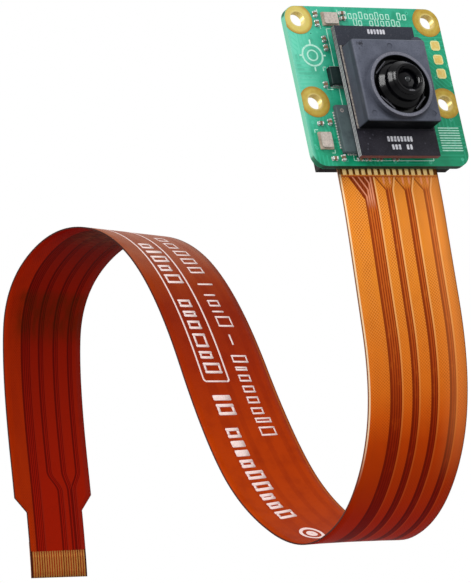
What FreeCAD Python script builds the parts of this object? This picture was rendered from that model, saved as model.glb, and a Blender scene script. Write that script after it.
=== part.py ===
import FreeCAD, Part
import math
import os
import Sketcher

# Camera module: an upright circuit board with its lens towards -Y and a flat film cable leaving downwards.
# X is to the right seen from the lens side, Z is up, and the origin is the centre of the four mounting holes
# on the board's front face. Lengths are in millimetres.

doc = FreeCAD.newDocument("camera_module")
sheet = doc.addObject("Spreadsheet::Sheet", "Sizes")
rows = {"next": 1}


class Size:
    """A length that carries its number and the formula that the drawing reads."""

    def __init__(self, number, formula):
        self.number = float(number)
        self.formula = formula

    def join(self, other, sign, number):
        text = other.formula if isinstance(other, Size) else repr(float(other))
        return Size(number, "(" + self.formula + " " + sign + " " + text + ")")

    def __add__(self, other):
        return self.join(other, "+", self.number + plain(other))

    def __sub__(self, other):
        return self.join(other, "-", self.number - plain(other))

    def __mul__(self, other):
        return self.join(other, "*", self.number * plain(other))

    def __truediv__(self, other):
        return self.join(other, "/", self.number / plain(other))

    def __neg__(self):
        return Size(-self.number, "(0 - " + self.formula + ")")


def plain(value):
    return value.number if isinstance(value, Size) else float(value)


def fixed(value):
    return value if isinstance(value, Size) else Size(value, repr(float(value)))


def size(name, value):
    row = rows["next"]
    rows["next"] = row + 1
    sheet.set("A" + str(row), name)
    sheet.set("B" + str(row), repr(float(value)))
    sheet.setAlias("B" + str(row), name)
    return Size(value, "Sizes." + name)


# Circuit board and its four holes
board_width = size("board_width", 25.0)
board_height = size("board_height", 24.0)
board_thickness = size("board_thickness", 1.0)
board_corner = size("board_corner", 2.0)
hole_edge = size("hole_edge", 2.0)
lower_hole_edge = size("lower_hole_edge", 9.5)
hole_radius = size("hole_radius", 1.1)
hole_plating = size("hole_plating", 0.05)
ring_radius = size("ring_radius", 2.3)
pad_thickness = size("pad_thickness", 0.05)
test_pad_edge = size("test_pad_edge", 1.5)

# Sensor board, carried above the circuit board on a stacking connector
stack_height = size("stack_height", 1.2)
sensor_board_margin = size("sensor_board_margin", 0.45)
sensor_board_top_edge = size("sensor_board_top_edge", 3.85)
sensor_board_low_edge = size("sensor_board_low_edge", 0.65)
sensor_board_thickness = size("sensor_board_thickness", 0.9)
sensor_board_x = size("sensor_board_x", 0.1)
stack_length = size("stack_length", 8.0)
stack_width = size("stack_width", 2.6)
stack_socket_height = size("stack_socket_height", 0.7)
stack_z = size("stack_z", -1.6)
stack_shift = size("stack_shift", 0.125)
sensor_width = size("sensor_width", 8.2)
sensor_height = size("sensor_height", 6.4)
sensor_thickness = size("sensor_thickness", 0.4)

# Lens holder, collar and focusing barrel on one axis
lens_axis_z = size("lens_axis_z", -6.15)
holder_side_margin = size("holder_side_margin", 1.05)
holder_low_margin = size("holder_low_margin", 0.15)
holder_high_margin = size("holder_high_margin", 2.45)
holder_depth = size("holder_depth", 2.95)
holder_x = size("holder_x", 0.1)
holder_corner = size("holder_corner", 0.35)
holder_chamfer = size("holder_chamfer", 0.25)
cavity_margin = size("cavity_margin", 0.15)
cavity_depth = size("cavity_depth", 1.5)
cavity_shift = size("cavity_shift", 0.3)
ear_radius = size("ear_radius", 1.0)
ear_depth = size("ear_depth", 0.9)
ear_side_offset = size("ear_side_offset", 0.1)
ear_top_offset = size("ear_top_offset", 0.35)
mark_radius = size("mark_radius", 0.42)
mark_depth = size("mark_depth", 0.08)
collar_radius = size("collar_radius", 4.85)
collar_wall = size("collar_wall", 0.55)
collar_height = size("collar_height", 1.1)
well_depth = size("well_depth", 0.3)
thread_radius = size("thread_radius", 3.3)
turning_gap = size("turning_gap", 0.06)
flange_gap = size("flange_gap", 0.25)
flange_thickness = size("flange_thickness", 0.55)
lug_distance = size("lug_distance", 3.6)
lug_length = size("lug_length", 2.6)
lug_width = size("lug_width", 0.26)
lug_height = size("lug_height", 0.4)
lower_step_radius = size("lower_step_radius", 3.1)
lower_step_height = size("lower_step_height", 0.95)
upper_step_radius = size("upper_step_radius", 2.7)
upper_step_height = size("upper_step_height", 0.75)
tip_radius = size("tip_radius", 2.42)
tip_height = size("tip_height", 1.2)
tip_bevel = size("tip_bevel", 0.3)
mouth_radius = size("mouth_radius", 1.85)
mouth_depth = size("mouth_depth", 0.45)
lens_bore = size("lens_bore", 1.9)
window_radius = size("window_radius", 1.5)
barrel_tail = size("barrel_tail", 1.0)
lens_fit = size("lens_fit", 0.02)
front_lens_edge = size("front_lens_edge", 0.5)
front_lens_dome = size("front_lens_dome", 0.32)
spacer_length = size("spacer_length", 0.5)
middle_lens_edge = size("middle_lens_edge", 0.6)
stop_thickness = size("stop_thickness", 0.12)
stop_radius = size("stop_radius", 0.75)
rear_lens_edge = size("rear_lens_edge", 0.8)
retainer_length = size("retainer_length", 0.5)
filter_margin = size("filter_margin", 0.5)
filter_thickness = size("filter_thickness", 0.3)

# Parts soldered to the front of the board
chip_side = size("chip_side", 7.0)
chip_height = size("chip_height", 0.85)
chip_left = size("chip_left", 8.1)
chip_edge = size("chip_edge", 5.25)
chip_chamfer = size("chip_chamfer", 0.08)
chip_lead_spacing = size("chip_lead_spacing", 0.4)
chip_lead_width = size("chip_lead_width", 0.2)
chip_lead_length = size("chip_lead_length", 0.3)
chip_lead_thickness = size("chip_lead_thickness", 0.12)
coil_width = size("coil_width", 2.4)
coil_height = size("coil_height", 3.0)
coil_depth = size("coil_depth", 0.95)
coil_left = size("coil_left", 6.1)
coil_rise = size("coil_rise", 1.15)
coil_end = size("coil_end", 0.2)
crystal_long = size("crystal_long", 2.5)
crystal_short = size("crystal_short", 2.0)
crystal_base = size("crystal_base", 0.35)
crystal_lid = size("crystal_lid", 0.3)
crystal_rim = size("crystal_rim", 0.15)
crystal_round = size("crystal_round", 0.25)
upper_crystal_left = size("upper_crystal_left", 7.1)
upper_crystal_top = size("upper_crystal_top", 2.0)
lower_crystal_left = size("lower_crystal_left", 2.3)
lower_crystal_low = size("lower_crystal_low", 3.65)
passive_long = size("passive_long", 0.8)
passive_wide = size("passive_wide", 0.45)
passive_height = size("passive_height", 0.4)
passive_end = size("passive_end", 0.2)

# Parts soldered to the back of the board
memory_width = size("memory_width", 5.2)
memory_height = size("memory_height", 5.0)
memory_depth = size("memory_depth", 1.6)
memory_share = size("memory_share", 0.184)
memory_z = size("memory_z", 2.0)
memory_lead_spacing = size("memory_lead_spacing", 1.27)
memory_lead_width = size("memory_lead_width", 0.4)
memory_lead_length = size("memory_lead_length", 1.1)
memory_lead_thickness = size("memory_lead_thickness", 0.2)
regulator_width = size("regulator_width", 1.6)
regulator_height = size("regulator_height", 2.9)
regulator_depth = size("regulator_depth", 1.0)
regulator_share = size("regulator_share", -0.136)
regulator_z = size("regulator_z", 3.6)
regulator_lead_spacing = size("regulator_lead_spacing", 0.95)
regulator_lead_width = size("regulator_lead_width", 0.35)
regulator_lead_length = size("regulator_lead_length", 0.6)
lead_tuck = size("lead_tuck", 0.2)

# Cable connector on the back, with its sliding latch
housing_width = size("housing_width", 19.4)
housing_depth = size("housing_depth", 2.6)
housing_height = size("housing_height", 4.5)
housing_edge = size("housing_edge", 2.25)
housing_corner = size("housing_corner", 0.2)
cable_y = size("cable_y", 1.9)
cable_gap = size("cable_gap", 0.06)
slot_side_gap = size("slot_side_gap", 0.15)
tongue_thickness = size("tongue_thickness", 0.3)
tongue_length = size("tongue_length", 2.6)
latch_depth = size("latch_depth", 1.6)
latch_play = size("latch_play", 0.08)
latch_travel = size("latch_travel", 1.0)
latch_wall = size("latch_wall", 0.7)
latch_hold_length = size("latch_hold_length", 1.4)
latch_grip = size("latch_grip", 0.5)
contact_spacing = size("contact_spacing", 1.0)
contact_width = size("contact_width", 0.3)
contact_play = size("contact_play", 0.03)
contact_tail = size("contact_tail", 0.9)
film_end_gap = size("film_end_gap", 0.1)
contact_thickness = size("contact_thickness", 0.2)
contact_rise_length = size("contact_rise_length", 0.4)
contact_bend_length = size("contact_bend_length", 0.9)
contact_tip_distance = size("contact_tip_distance", 3.3)
contact_tip_half = size("contact_tip_half", 0.3)
contact_tip_drop = size("contact_tip_drop", 0.1)
comb_floor = size("comb_floor", 0.6)
tab_width = size("tab_width", 0.9)
tab_height = size("tab_height", 2.2)
tab_thickness = size("tab_thickness", 0.25)
tab_drop = size("tab_drop", 0.3)

# Film cable: sizes along and across the film
film_width = size("film_width", 16.0)
film_thickness = size("film_thickness", 0.2)
film_narrow_width = size("film_narrow_width", 11.5)
neck_start = size("neck_start", 187.7)
neck_end = size("neck_end", 190.0)
twist_start = size("twist_start", 40.0)
twist_end = size("twist_end", 167.0)
twist_angle = size("twist_angle", 17.2)
finger_thickness = size("finger_thickness", 0.03)
wide_finger_width = size("wide_finger_width", 0.6)
wide_finger_length = size("wide_finger_length", 7.2)
narrow_finger_spacing = size("narrow_finger_spacing", 0.5)
narrow_finger_width = size("narrow_finger_width", 0.3)
narrow_finger_length = size("narrow_finger_length", 4.1)
stiffener_thickness = size("stiffener_thickness", 0.12)
wide_stiffener_length = size("wide_stiffener_length", 8.5)
narrow_stiffener_length = size("narrow_stiffener_length", 5.6)
arc_share = size("arc_share", 0.45)

wide_ways = 15
narrow_ways = 22
doc.recompute()

hole_spacing_wide = board_width - hole_edge * 2
hole_spacing_high = board_height - hole_edge - lower_hole_edge
board_top = hole_spacing_high / 2 + hole_edge
board_bottom = board_top - board_height
board_middle = (board_top + board_bottom) / 2
board_left = -board_width / 2
board_back = board_thickness
stack_front = stack_height + sensor_board_thickness
holder_front = stack_front + holder_depth
collar_front = holder_front + collar_height
well_floor = holder_front - well_depth
holder_width = (collar_radius + holder_side_margin) * 2
holder_top = lens_axis_z + collar_radius + holder_high_margin
holder_low = lens_axis_z - collar_radius - holder_low_margin
holder_height = holder_top - holder_low
holder_z = (holder_top + holder_low) / 2
ear_x = holder_x + holder_width / 2 + ear_side_offset
ear_z = holder_top + ear_top_offset
sensor_board_width = holder_width + sensor_board_margin * 2
sensor_board_top = board_top - sensor_board_top_edge
sensor_board_low = board_bottom + sensor_board_low_edge
sensor_board_height = sensor_board_top - sensor_board_low
sensor_board_z = (sensor_board_top + sensor_board_low) / 2
cavity_side = (collar_radius - cavity_margin) * 2
filter_side = cavity_side - filter_margin * 2
test_pad_x = board_width / 2 - test_pad_edge
ring_gap = hole_spacing_high - ring_radius * 2
test_pad_side = ring_gap * 0.19
test_pad_spacing = ring_gap * 0.272
test_pad_z = ring_gap * 0.057
test_pad_round = test_pad_side * 0.27
chip_x = board_left + chip_left
chip_z = board_bottom + chip_edge
coil_x = board_left + coil_left
coil_z = board_middle + coil_rise
coil_right = coil_x + coil_width / 2
sensor_board_right = sensor_board_x + sensor_board_width / 2
stack_x = (coil_right + sensor_board_right) / 2 - stack_shift
upper_crystal_x = board_left + upper_crystal_left
upper_crystal_z = board_top - upper_crystal_top
lower_crystal_x = board_left + lower_crystal_left
lower_crystal_z = board_bottom + lower_crystal_low
memory_x = board_width * memory_share
regulator_x = board_width * regulator_share
housing_bottom = board_bottom + housing_edge
housing_top = housing_bottom + housing_height
latch_arm_length = latch_hold_length + latch_travel


# Drawing helpers: every line, circle and pad is tied to the sizes above
def plane_of(body, role):
    return [f for f in body.Origin.OriginFeatures if f.Role == role][0]


def new_body(name):
    body = doc.addObject("PartDesign::Body", name)
    body.Label = name
    body.AllowCompound = True
    return body


def new_sketch(body, name, role, across=None, up=None, out=None):
    sketch = body.newObject("Sketcher::SketchObject", name)
    sketch.AttachmentSupport = [(plane_of(body, role), "")]
    sketch.MapMode = "FlatFace"
    for axis, value in (("x", across), ("y", up), ("z", out)):
        if value is None:
            continue
        value = fixed(value)
        sketch.setExpression("AttachmentOffset.Base." + axis, value.formula)
    return sketch


def tie_all(sketch, fixed_ones, ties):
    constraints = list(fixed_ones)
    for kind, first, value in ties:
        constraints.append(Sketcher.Constraint(kind, *first, plain(value)))
    start = sketch.ConstraintCount
    sketch.addConstraint(constraints)
    for i, (kind, first, value) in enumerate(ties):
        index = start + len(fixed_ones) + i
        sketch.setExpression("Constraints[" + str(index) + "]", fixed(value).formula)


def draw_outline(sketch, points):
    first = sketch.GeometryCount
    count = len(points)
    corners = [FreeCAD.Vector(plain(x), plain(y), 0) for x, y in points]
    lines = [Part.LineSegment(corners[i], corners[(i + 1) % count]) for i in range(count)]
    sketch.addGeometry(lines, False)
    joins = []
    ties = []
    for i, (x, y) in enumerate(points):
        joins.append(Sketcher.Constraint("Coincident", first + i, 2, first + (i + 1) % count, 1))
        ties.append(("DistanceX", (-1, 1, first + i, 1), x))
        ties.append(("DistanceY", (-1, 1, first + i, 1), y))
    tie_all(sketch, joins, ties)


def box_corners(middle_x, middle_y, width, height):
    left = fixed(middle_x) - fixed(width) / 2
    right = fixed(middle_x) + fixed(width) / 2
    low = fixed(middle_y) - fixed(height) / 2
    high = fixed(middle_y) + fixed(height) / 2
    return left, right, low, high


def draw_box(sketch, middle_x, middle_y, width, height):
    left, right, low, high = box_corners(middle_x, middle_y, width, height)
    draw_outline(sketch, [(left, low), (right, low), (right, high), (left, high)])


def draw_circle(sketch, middle_x, middle_y, radius):
    centre = FreeCAD.Vector(plain(middle_x), plain(middle_y), 0)
    item = sketch.addGeometry(Part.Circle(centre, FreeCAD.Vector(0, 0, 1), plain(radius)), False)
    tie_all(sketch, [], [
        ("Radius", (item,), radius),
        ("DistanceX", (-1, 1, item, 3), middle_x),
        ("DistanceY", (-1, 1, item, 3), middle_y),
    ])


def pad(body, sketch, length, name, back=False):
    feature = body.newObject("PartDesign::Pad", name)
    feature.Profile = sketch
    feature.setExpression("Length", fixed(length).formula)
    feature.Reversed = back
    body.Tip = feature
    doc.recompute()
    return feature


def pocket(body, sketch, length, name, into_back=False):
    before = body.Shape.Volume
    feature = body.newObject("PartDesign::Pocket", name)
    feature.Profile = sketch
    feature.setExpression("Length", fixed(length).formula)
    feature.Reversed = into_back
    body.Tip = feature
    doc.recompute()
    assert feature.Shape.Volume < before - 1e-6, name
    return feature


def turn(body, sketch, name):
    feature = body.newObject("PartDesign::Revolution", name)
    feature.Profile = sketch
    feature.ReferenceAxis = (sketch, ["H_Axis"])
    feature.Angle = 360
    body.Tip = feature
    doc.recompute()
    return feature


def edges_along_y(shape):
    names = []
    for i, edge in enumerate(shape.Edges):
        if edge.Curve.TypeId == "Part::GeomLine":
            ends = [v.Point for v in edge.Vertexes]
            if abs(abs(ends[0].y - ends[1].y) - edge.Length) < 1e-6:
                names.append("Edge" + str(i + 1))
    return names


def edges_at_y(shape, y):
    names = []
    for i, edge in enumerate(shape.Edges):
        box = edge.BoundBox
        if abs(box.YMin - y) < 1e-4 and abs(box.YMax - y) < 1e-4:
            names.append("Edge" + str(i + 1))
    return names


def round_edges(body, base, names, radius, name):
    feature = body.newObject("PartDesign::Fillet", name)
    feature.Base = (base, names)
    feature.setExpression("Radius", fixed(radius).formula)
    body.Tip = feature
    doc.recompute()
    return feature


def bevel_edges(body, base, names, width, name):
    feature = body.newObject("PartDesign::Chamfer", name)
    feature.Base = (base, names)
    feature.setExpression("Size", fixed(width).formula)
    body.Tip = feature
    doc.recompute()
    return feature


def repeat(body, base, sketch, direction, pitch, count, name):
    feature = body.newObject("PartDesign::LinearPattern", name)
    feature.Originals = [base]
    feature.Direction = (sketch, [direction])
    feature.Mode = "Spacing"
    feature.setExpression("Offset", fixed(pitch).formula)
    feature.Occurrences = count
    body.Tip = feature
    doc.recompute()
    return feature


def boxes_front(name, height_from, height_to, boxes):
    body = new_body(name)
    sketch = new_sketch(body, name + "_outline", "XZ_Plane", out=height_from)
    for box in boxes:
        draw_box(sketch, *box)
    pad(body, sketch, fixed(height_to) - fixed(height_from), name + "_pad")
    return body


def boxes_back(name, depth_from, depth_to, boxes):
    body = new_body(name)
    sketch = new_sketch(body, name + "_outline", "XZ_Plane", out=-fixed(depth_from))
    for box in boxes:
        draw_box(sketch, *box)
    pad(body, sketch, fixed(depth_to) - fixed(depth_from), name + "_pad", back=True)
    return body


def many_boxes(name, y_from, y_to, boxes):
    solids = []
    for i, box in enumerate(boxes):
        left, right, low, high = box_corners(*box)
        solid = doc.addObject("Part::Box", name + "_" + str(i + 1))
        solid.setExpression("Length", (right - left).formula)
        solid.setExpression("Width", (fixed(y_to) - fixed(y_from)).formula)
        solid.setExpression("Height", (high - low).formula)
        solid.setExpression("Placement.Base.x", left.formula)
        solid.setExpression("Placement.Base.y", fixed(y_from).formula)
        solid.setExpression("Placement.Base.z", low.formula)
        solids.append(solid)
    group = doc.addObject("Part::Compound", name)
    group.Label = name
    group.Links = solids
    doc.recompute()
    return group


parts = []

# Circuit board
board = new_body("circuit_board")
sketch = new_sketch(board, "board_outline", "XZ_Plane")
draw_box(sketch, 0, board_middle, board_width, board_height)
plate = pad(board, sketch, board_thickness, "board_pad", back=True)
rounded = round_edges(board, plate, edges_along_y(plate.Shape), board_corner, "board_corners")
sketch = new_sketch(board, "board_holes", "XZ_Plane")
hole_places = []
for side in (-1, 1):
    for level in (-1, 1):
        hole_places.append((hole_spacing_wide * (side / 2), hole_spacing_high * (level / 2)))
for x, z in hole_places:
    draw_circle(sketch, x, z, hole_radius + hole_plating)
pocket(board, sketch, board_thickness, "board_hole_cut")
parts.append(board)


# Plated holes: a gold ring on each face, cut off where it would pass the board's edge, joined by the hole's plated wall
rings = new_body("plated_holes")
inset_width = board_width - pad_thickness * 2
inset_height = board_height - pad_thickness * 2


def ring_face(name, out):
    blank = new_sketch(rings, name + "_blank", "XZ_Plane", out=out)
    draw_box(blank, 0, board_middle, inset_width, inset_height)
    face_pad = pad(rings, blank, pad_thickness, name + "_pad")
    corners = []
    for i, edge in enumerate(face_pad.Shape.Edges):
        ends = [v.Point for v in edge.Vertexes]
        straight = edge.Curve.TypeId == "Part::GeomLine"
        if straight and abs(ends[0].x - ends[1].x) + abs(ends[0].z - ends[1].z) < 1e-6:
            if abs(abs(ends[0].x) - inset_width.number / 2) < 1e-6 and edge.Length < pad_thickness.number * 1.5:
                if abs(edge.CenterOfMass.y + plain(out) + pad_thickness.number / 2) < 1e-6:
                    corners.append("Edge" + str(i + 1))
    round_edges(rings, face_pad, corners, board_corner - pad_thickness, name + "_corners")
    keep = new_sketch(rings, name + "_discs", "XZ_Plane", out=out)
    draw_box(keep, 0, board_middle, board_width * 2, board_height * 2)
    for x, z in hole_places:
        draw_circle(keep, x, z, ring_radius)
    pocket(rings, keep, pad_thickness, name + "_disc_cut", into_back=True)


ring_face("front_ring", fixed(0.0))
ring_face("back_ring", -board_back - pad_thickness)
sketch = new_sketch(rings, "hole_walls", "XZ_Plane")
for x, z in hole_places:
    draw_circle(sketch, x, z, hole_radius + hole_plating)
pad(rings, sketch, board_thickness, "hole_wall_pad", back=True)
sketch = new_sketch(rings, "hole_bores", "XZ_Plane", out=pad_thickness)
for x, z in hole_places:
    draw_circle(sketch, x, z, hole_radius)
pocket(rings, sketch, board_thickness + pad_thickness * 2, "hole_bore_cut")
parts.append(rings)

test_body = boxes_front("test_pads", 0.0, pad_thickness, [
    (test_pad_x, test_pad_z + test_pad_spacing, test_pad_side, test_pad_side),
    (test_pad_x, test_pad_z, test_pad_side, test_pad_side),
    (test_pad_x, test_pad_z - test_pad_spacing, test_pad_side, test_pad_side),
])
round_edges(test_body, test_body.Tip, edges_along_y(test_body.Shape), test_pad_round, "test_pad_corners")
parts.append(test_body)

# Sensor board on its stacking connector
sensor_board = boxes_front("sensor_board", stack_height, stack_front, [
    (sensor_board_x, sensor_board_z, sensor_board_width, sensor_board_height),
])
parts.append(sensor_board)
parts.append(boxes_front("stack_socket", 0.0, stack_socket_height, [(stack_x, stack_z, stack_length, stack_width)]))
plug_length = stack_length - stack_width * 0.4
parts.append(boxes_front("stack_plug", stack_socket_height, stack_height, [(stack_x, stack_z, plug_length, stack_width * 0.6)]))
parts.append(boxes_front("image_sensor", stack_front, stack_front + sensor_thickness, [
    (0, lens_axis_z, sensor_width, sensor_height),
]))

# Lens holder: a moulded block with a locating ear, a cavity over the sensor and a collar round the lens
holder = new_body("lens_holder")
sketch = new_sketch(holder, "holder_outline", "XZ_Plane", out=stack_front)
draw_box(sketch, holder_x, holder_z, holder_width, holder_height)
block = pad(holder, sketch, holder_depth, "holder_block")
block = round_edges(holder, block, edges_along_y(block.Shape), holder_corner, "holder_corners")
front_edges = edges_at_y(block.Shape, -holder_front.number)
block = bevel_edges(holder, block, front_edges, holder_chamfer, "holder_bevel")
sketch = new_sketch(holder, "holder_ear", "XZ_Plane", out=stack_front)
draw_circle(sketch, ear_x, ear_z, ear_radius)
pad(holder, sketch, ear_depth, "holder_ear_pad")
sketch = new_sketch(holder, "collar_circle", "XZ_Plane", up=lens_axis_z, out=holder_front)
draw_circle(sketch, 0, 0, collar_radius)
collar = pad(holder, sketch, collar_height, "collar_pad")
sketch = new_sketch(holder, "well_circle", "XZ_Plane", up=lens_axis_z, out=well_floor)
draw_circle(sketch, 0, 0, collar_radius - collar_wall)
pocket(holder, sketch, collar_front - well_floor, "well_cut", into_back=True)
sketch = new_sketch(holder, "cavity_square", "XZ_Plane", out=stack_front)
draw_box(sketch, 0, lens_axis_z + cavity_shift, cavity_side, cavity_side)
pocket(holder, sketch, cavity_depth, "cavity_cut", into_back=True)
sketch = new_sketch(holder, "thread_circle", "XZ_Plane", up=lens_axis_z, out=stack_front + cavity_depth)
draw_circle(sketch, 0, 0, thread_radius)
pocket(holder, sketch, well_floor - stack_front - cavity_depth, "thread_cut", into_back=True)
sketch = new_sketch(holder, "ejector_marks", "XZ_Plane", out=holder_front - mark_depth)
mark_x = holder_width * 0.4
mark_high = holder_z + holder_height * 0.41
mark_low = holder_z - holder_height * 0.41
draw_circle(sketch, holder_x, mark_high, mark_radius)
draw_circle(sketch, holder_x - mark_x, mark_low, mark_radius)
draw_circle(sketch, holder_x + mark_x, mark_low, mark_radius)
pocket(holder, sketch, mark_depth, "ejector_mark_cut", into_back=True)
parts.append(holder)

cavity_ceiling = stack_front + cavity_depth
parts.append(boxes_front("filter_glass", cavity_ceiling - filter_thickness, cavity_ceiling, [
    (0, lens_axis_z + cavity_shift, filter_side, filter_side),
]))

# Focusing barrel: one turned piece with a flange, steps, a bore for the lenses and four lugs for the focusing key
flange_back = well_floor + turning_gap
flange_front = flange_back + flange_thickness
step_one = flange_front + lower_step_height
step_two = step_one + upper_step_height
barrel_front = step_two + tip_height
barrel_back = flange_back - barrel_tail
mouth_floor = barrel_front - mouth_depth
seat_front = mouth_floor - front_lens_dome
barrel = new_body("lens_barrel")
sketch = new_sketch(barrel, "barrel_profile", "YZ_Plane", up=lens_axis_z)
flange_radius = collar_radius - collar_wall - flange_gap
draw_outline(sketch, [
    (-barrel_back, lens_bore),
    (-barrel_back, thread_radius - turning_gap),
    (-flange_back, thread_radius - turning_gap),
    (-flange_back, flange_radius),
    (-flange_front, flange_radius),
    (-flange_front, lower_step_radius),
    (-step_one, lower_step_radius),
    (-step_one, upper_step_radius),
    (-step_two, upper_step_radius),
    (-step_two - tip_bevel, tip_radius),
    (-barrel_front + tip_bevel, tip_radius),
    (-barrel_front, tip_radius - tip_bevel),
    (-barrel_front, mouth_radius),
    (-mouth_floor, window_radius),
    (-seat_front, window_radius),
    (-seat_front, lens_bore),
])
turn(barrel, sketch, "barrel_turned")
lug_angles = (45, 135, 225, 315)
for i, angle in enumerate(lug_angles):
    sketch = new_sketch(barrel, "lug_outline_" + str(i + 1), "XZ_Plane", up=lens_axis_z, out=flange_front)
    sketch.setExpression("AttachmentOffset.Rotation.Angle", repr(float(angle)))
    draw_box(sketch, lug_distance + lug_width / 2, 0, lug_width, lug_length)
    pad(barrel, sketch, lug_height, "lug_" + str(i + 1))
parts.append(barrel)


# Glass and rings inside the barrel, stacked from the front seat to the back
def turned_piece(name, points):
    body = new_body(name)
    outline = new_sketch(body, name + "_profile", "YZ_Plane", up=lens_axis_z)
    draw_outline(outline, points)
    turn(body, outline, name + "_turned")
    return body


glass_radius = lens_bore - lens_fit
front_glass_back = seat_front - front_lens_edge
parts.append(turned_piece("front_lens", [
    (-seat_front - front_lens_dome, 0),
    (-seat_front - front_lens_dome * 0.88, window_radius * 0.35),
    (-seat_front - front_lens_dome * 0.5, window_radius * 0.7),
    (-seat_front, window_radius * 0.97),
    (-seat_front, glass_radius),
    (-front_glass_back, glass_radius),
    (-front_glass_back, 0),
]))
spacer_back = front_glass_back - spacer_length
parts.append(turned_piece("lens_spacer", [
    (-front_glass_back, window_radius),
    (-front_glass_back, glass_radius),
    (-spacer_back, glass_radius),
    (-spacer_back, window_radius),
]))
middle_back = spacer_back - middle_lens_edge
parts.append(turned_piece("middle_lens", [
    (-spacer_back - front_lens_dome, 0),
    (-spacer_back - front_lens_dome * 0.5, window_radius * 0.65),
    (-spacer_back, window_radius * 0.95),
    (-spacer_back, glass_radius),
    (-middle_back, glass_radius),
    (-middle_back, 0),
]))
stop_back = middle_back - stop_thickness
parts.append(turned_piece("aperture_stop", [
    (-middle_back, stop_radius),
    (-middle_back, glass_radius),
    (-stop_back, glass_radius),
    (-stop_back, stop_radius),
]))
rear_back = stop_back - rear_lens_edge
parts.append(turned_piece("rear_lens", [
    (-stop_back, 0),
    (-stop_back, glass_radius),
    (-rear_back, glass_radius),
    (-rear_back, window_radius),
    (-rear_back + front_lens_dome * 0.5, window_radius * 0.6),
    (-rear_back + front_lens_dome * 0.8, 0),
]))
retainer_back = rear_back - retainer_length
parts.append(turned_piece("lens_retainer", [
    (-rear_back, window_radius),
    (-rear_back, glass_radius),
    (-retainer_back, glass_radius),
    (-retainer_back, window_radius),
]))

# Controller chip with leads on its four sides
chip = boxes_front("controller_chip", chip_lead_thickness, chip_height, [(chip_x, chip_z, chip_side, chip_side)])
bevel_edges(chip, chip.Tip, edges_at_y(chip.Shape, -chip_height.number), chip_chamfer, "controller_chip_bevel")
parts.append(chip)
leads = new_body("controller_leads")
lead_first = -chip_lead_spacing * 6.5
lead_half = chip_side / 2
for name, side in (("left", -1), ("right", 1)):
    sketch = new_sketch(leads, "lead_" + name, "XZ_Plane")
    draw_box(sketch, chip_x + lead_half * side, chip_z + lead_first, chip_lead_length, chip_lead_width)
    lead = pad(leads, sketch, chip_lead_thickness, "lead_pad_" + name)
    repeat(leads, lead, sketch, "V_Axis", chip_lead_spacing, 14, "lead_row_" + name)
for name, side in (("lower", -1), ("upper", 1)):
    sketch = new_sketch(leads, "lead_" + name, "XZ_Plane")
    draw_box(sketch, chip_x + lead_first, chip_z + lead_half * side, chip_lead_width, chip_lead_length)
    lead = pad(leads, sketch, chip_lead_thickness, "lead_pad_" + name)
    repeat(leads, lead, sketch, "H_Axis", chip_lead_spacing, 14, "lead_row_" + name)
parts.append(leads)

# Power inductor
coil_inner = coil_height - coil_end * 2
coil = boxes_front("power_inductor", 0.0, coil_depth, [(coil_x, coil_z, coil_width, coil_inner)])
bevel_edges(coil, coil.Tip, edges_at_y(coil.Shape, -coil_depth.number), chip_chamfer, "power_inductor_bevel")
parts.append(coil)
coil_step = (coil_height - coil_end) / 2
parts.append(boxes_front("inductor_ends", 0.0, coil_depth * 0.6, [
    (coil_x, coil_z - coil_step, coil_width * 0.8, coil_end),
    (coil_x, coil_z + coil_step, coil_width * 0.8, coil_end),
]))

# Two clock crystals: ceramic bases with metal lids
crystal_places = [
    (upper_crystal_x, upper_crystal_z, crystal_long, crystal_short),
    (lower_crystal_x, lower_crystal_z, crystal_short, crystal_long),
]
parts.append(boxes_front("crystal_bases", 0.0, crystal_base, crystal_places))
lids = boxes_front("crystal_lids", crystal_base, crystal_base + crystal_lid, [
    (x, z, w - crystal_rim * 2, h - crystal_rim * 2) for x, z, w, h in crystal_places
])
round_edges(lids, lids.Tip, edges_along_y(lids.Shape), crystal_round, "crystal_lid_corners")
parts.append(lids)

# Small capacitors and resistors, with whether each stands upright on the board's face
# Near the upper edge: distance from the left edge, distance below the upper edge
upper_passives = [
    (4.9, 1.25, True), (4.9, 2.65, True), (9.2, 1.05, False), (9.2, 1.85, False), (5.5, 5.05, True), (5.5, 6.35, True),
]
# Near the lower edge: distance from the left edge, height above the lower edge
lower_passives = [
    (4.2, 12.05, True), (3.6, 6.45, True), (2.1, 6.25, False), (3.2, 1.05, False), (4.6, 1.15, True),
    (7.2, 1.0, False), (8.5, 1.0, False), (10.3, 1.0, False), (12.9, 1.0, False),
]
front_passives = [(board_left + left, board_top - drop, upright) for left, drop, upright in upper_passives]
front_passives += [(board_left + left, board_bottom + rise, upright) for left, rise, upright in lower_passives]
# On the back: place across as a share of the board's width, height from the middle of the holes
back_passive_shares = [
    (-0.248, 5.2, True), (-0.248, 3.4, True), (-0.032, 5.0, False), (-0.032, 3.9, False),
    (-0.168, 0.6, False), (-0.104, 0.6, False), (-0.24, -1.8, True), (-0.184, -1.8, True),
    (0.008, -2.4, False), (0.072, -2.4, False), (0.136, -2.4, False), (0.256, -2.6, True),
    (-0.08, -4.6, False), (0.0, -4.6, False), (0.08, -4.6, False), (0.184, -5.2, False),
]
back_passives = [(board_width * share, level, upright) for share, level, upright in back_passive_shares]


def passive_boxes(places):
    bodies = []
    ends = []
    middle = passive_long - passive_end * 2
    step = (passive_long - passive_end) / 2
    for x, z, upright in places:
        if upright:
            bodies.append((x, z, passive_wide, middle))
            ends.append((x, fixed(z) - step, passive_wide, passive_end))
            ends.append((x, fixed(z) + step, passive_wide, passive_end))
        else:
            bodies.append((x, z, middle, passive_wide))
            ends.append((fixed(x) - step, z, passive_end, passive_wide))
            ends.append((fixed(x) + step, z, passive_end, passive_wide))
    return bodies, ends


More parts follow.
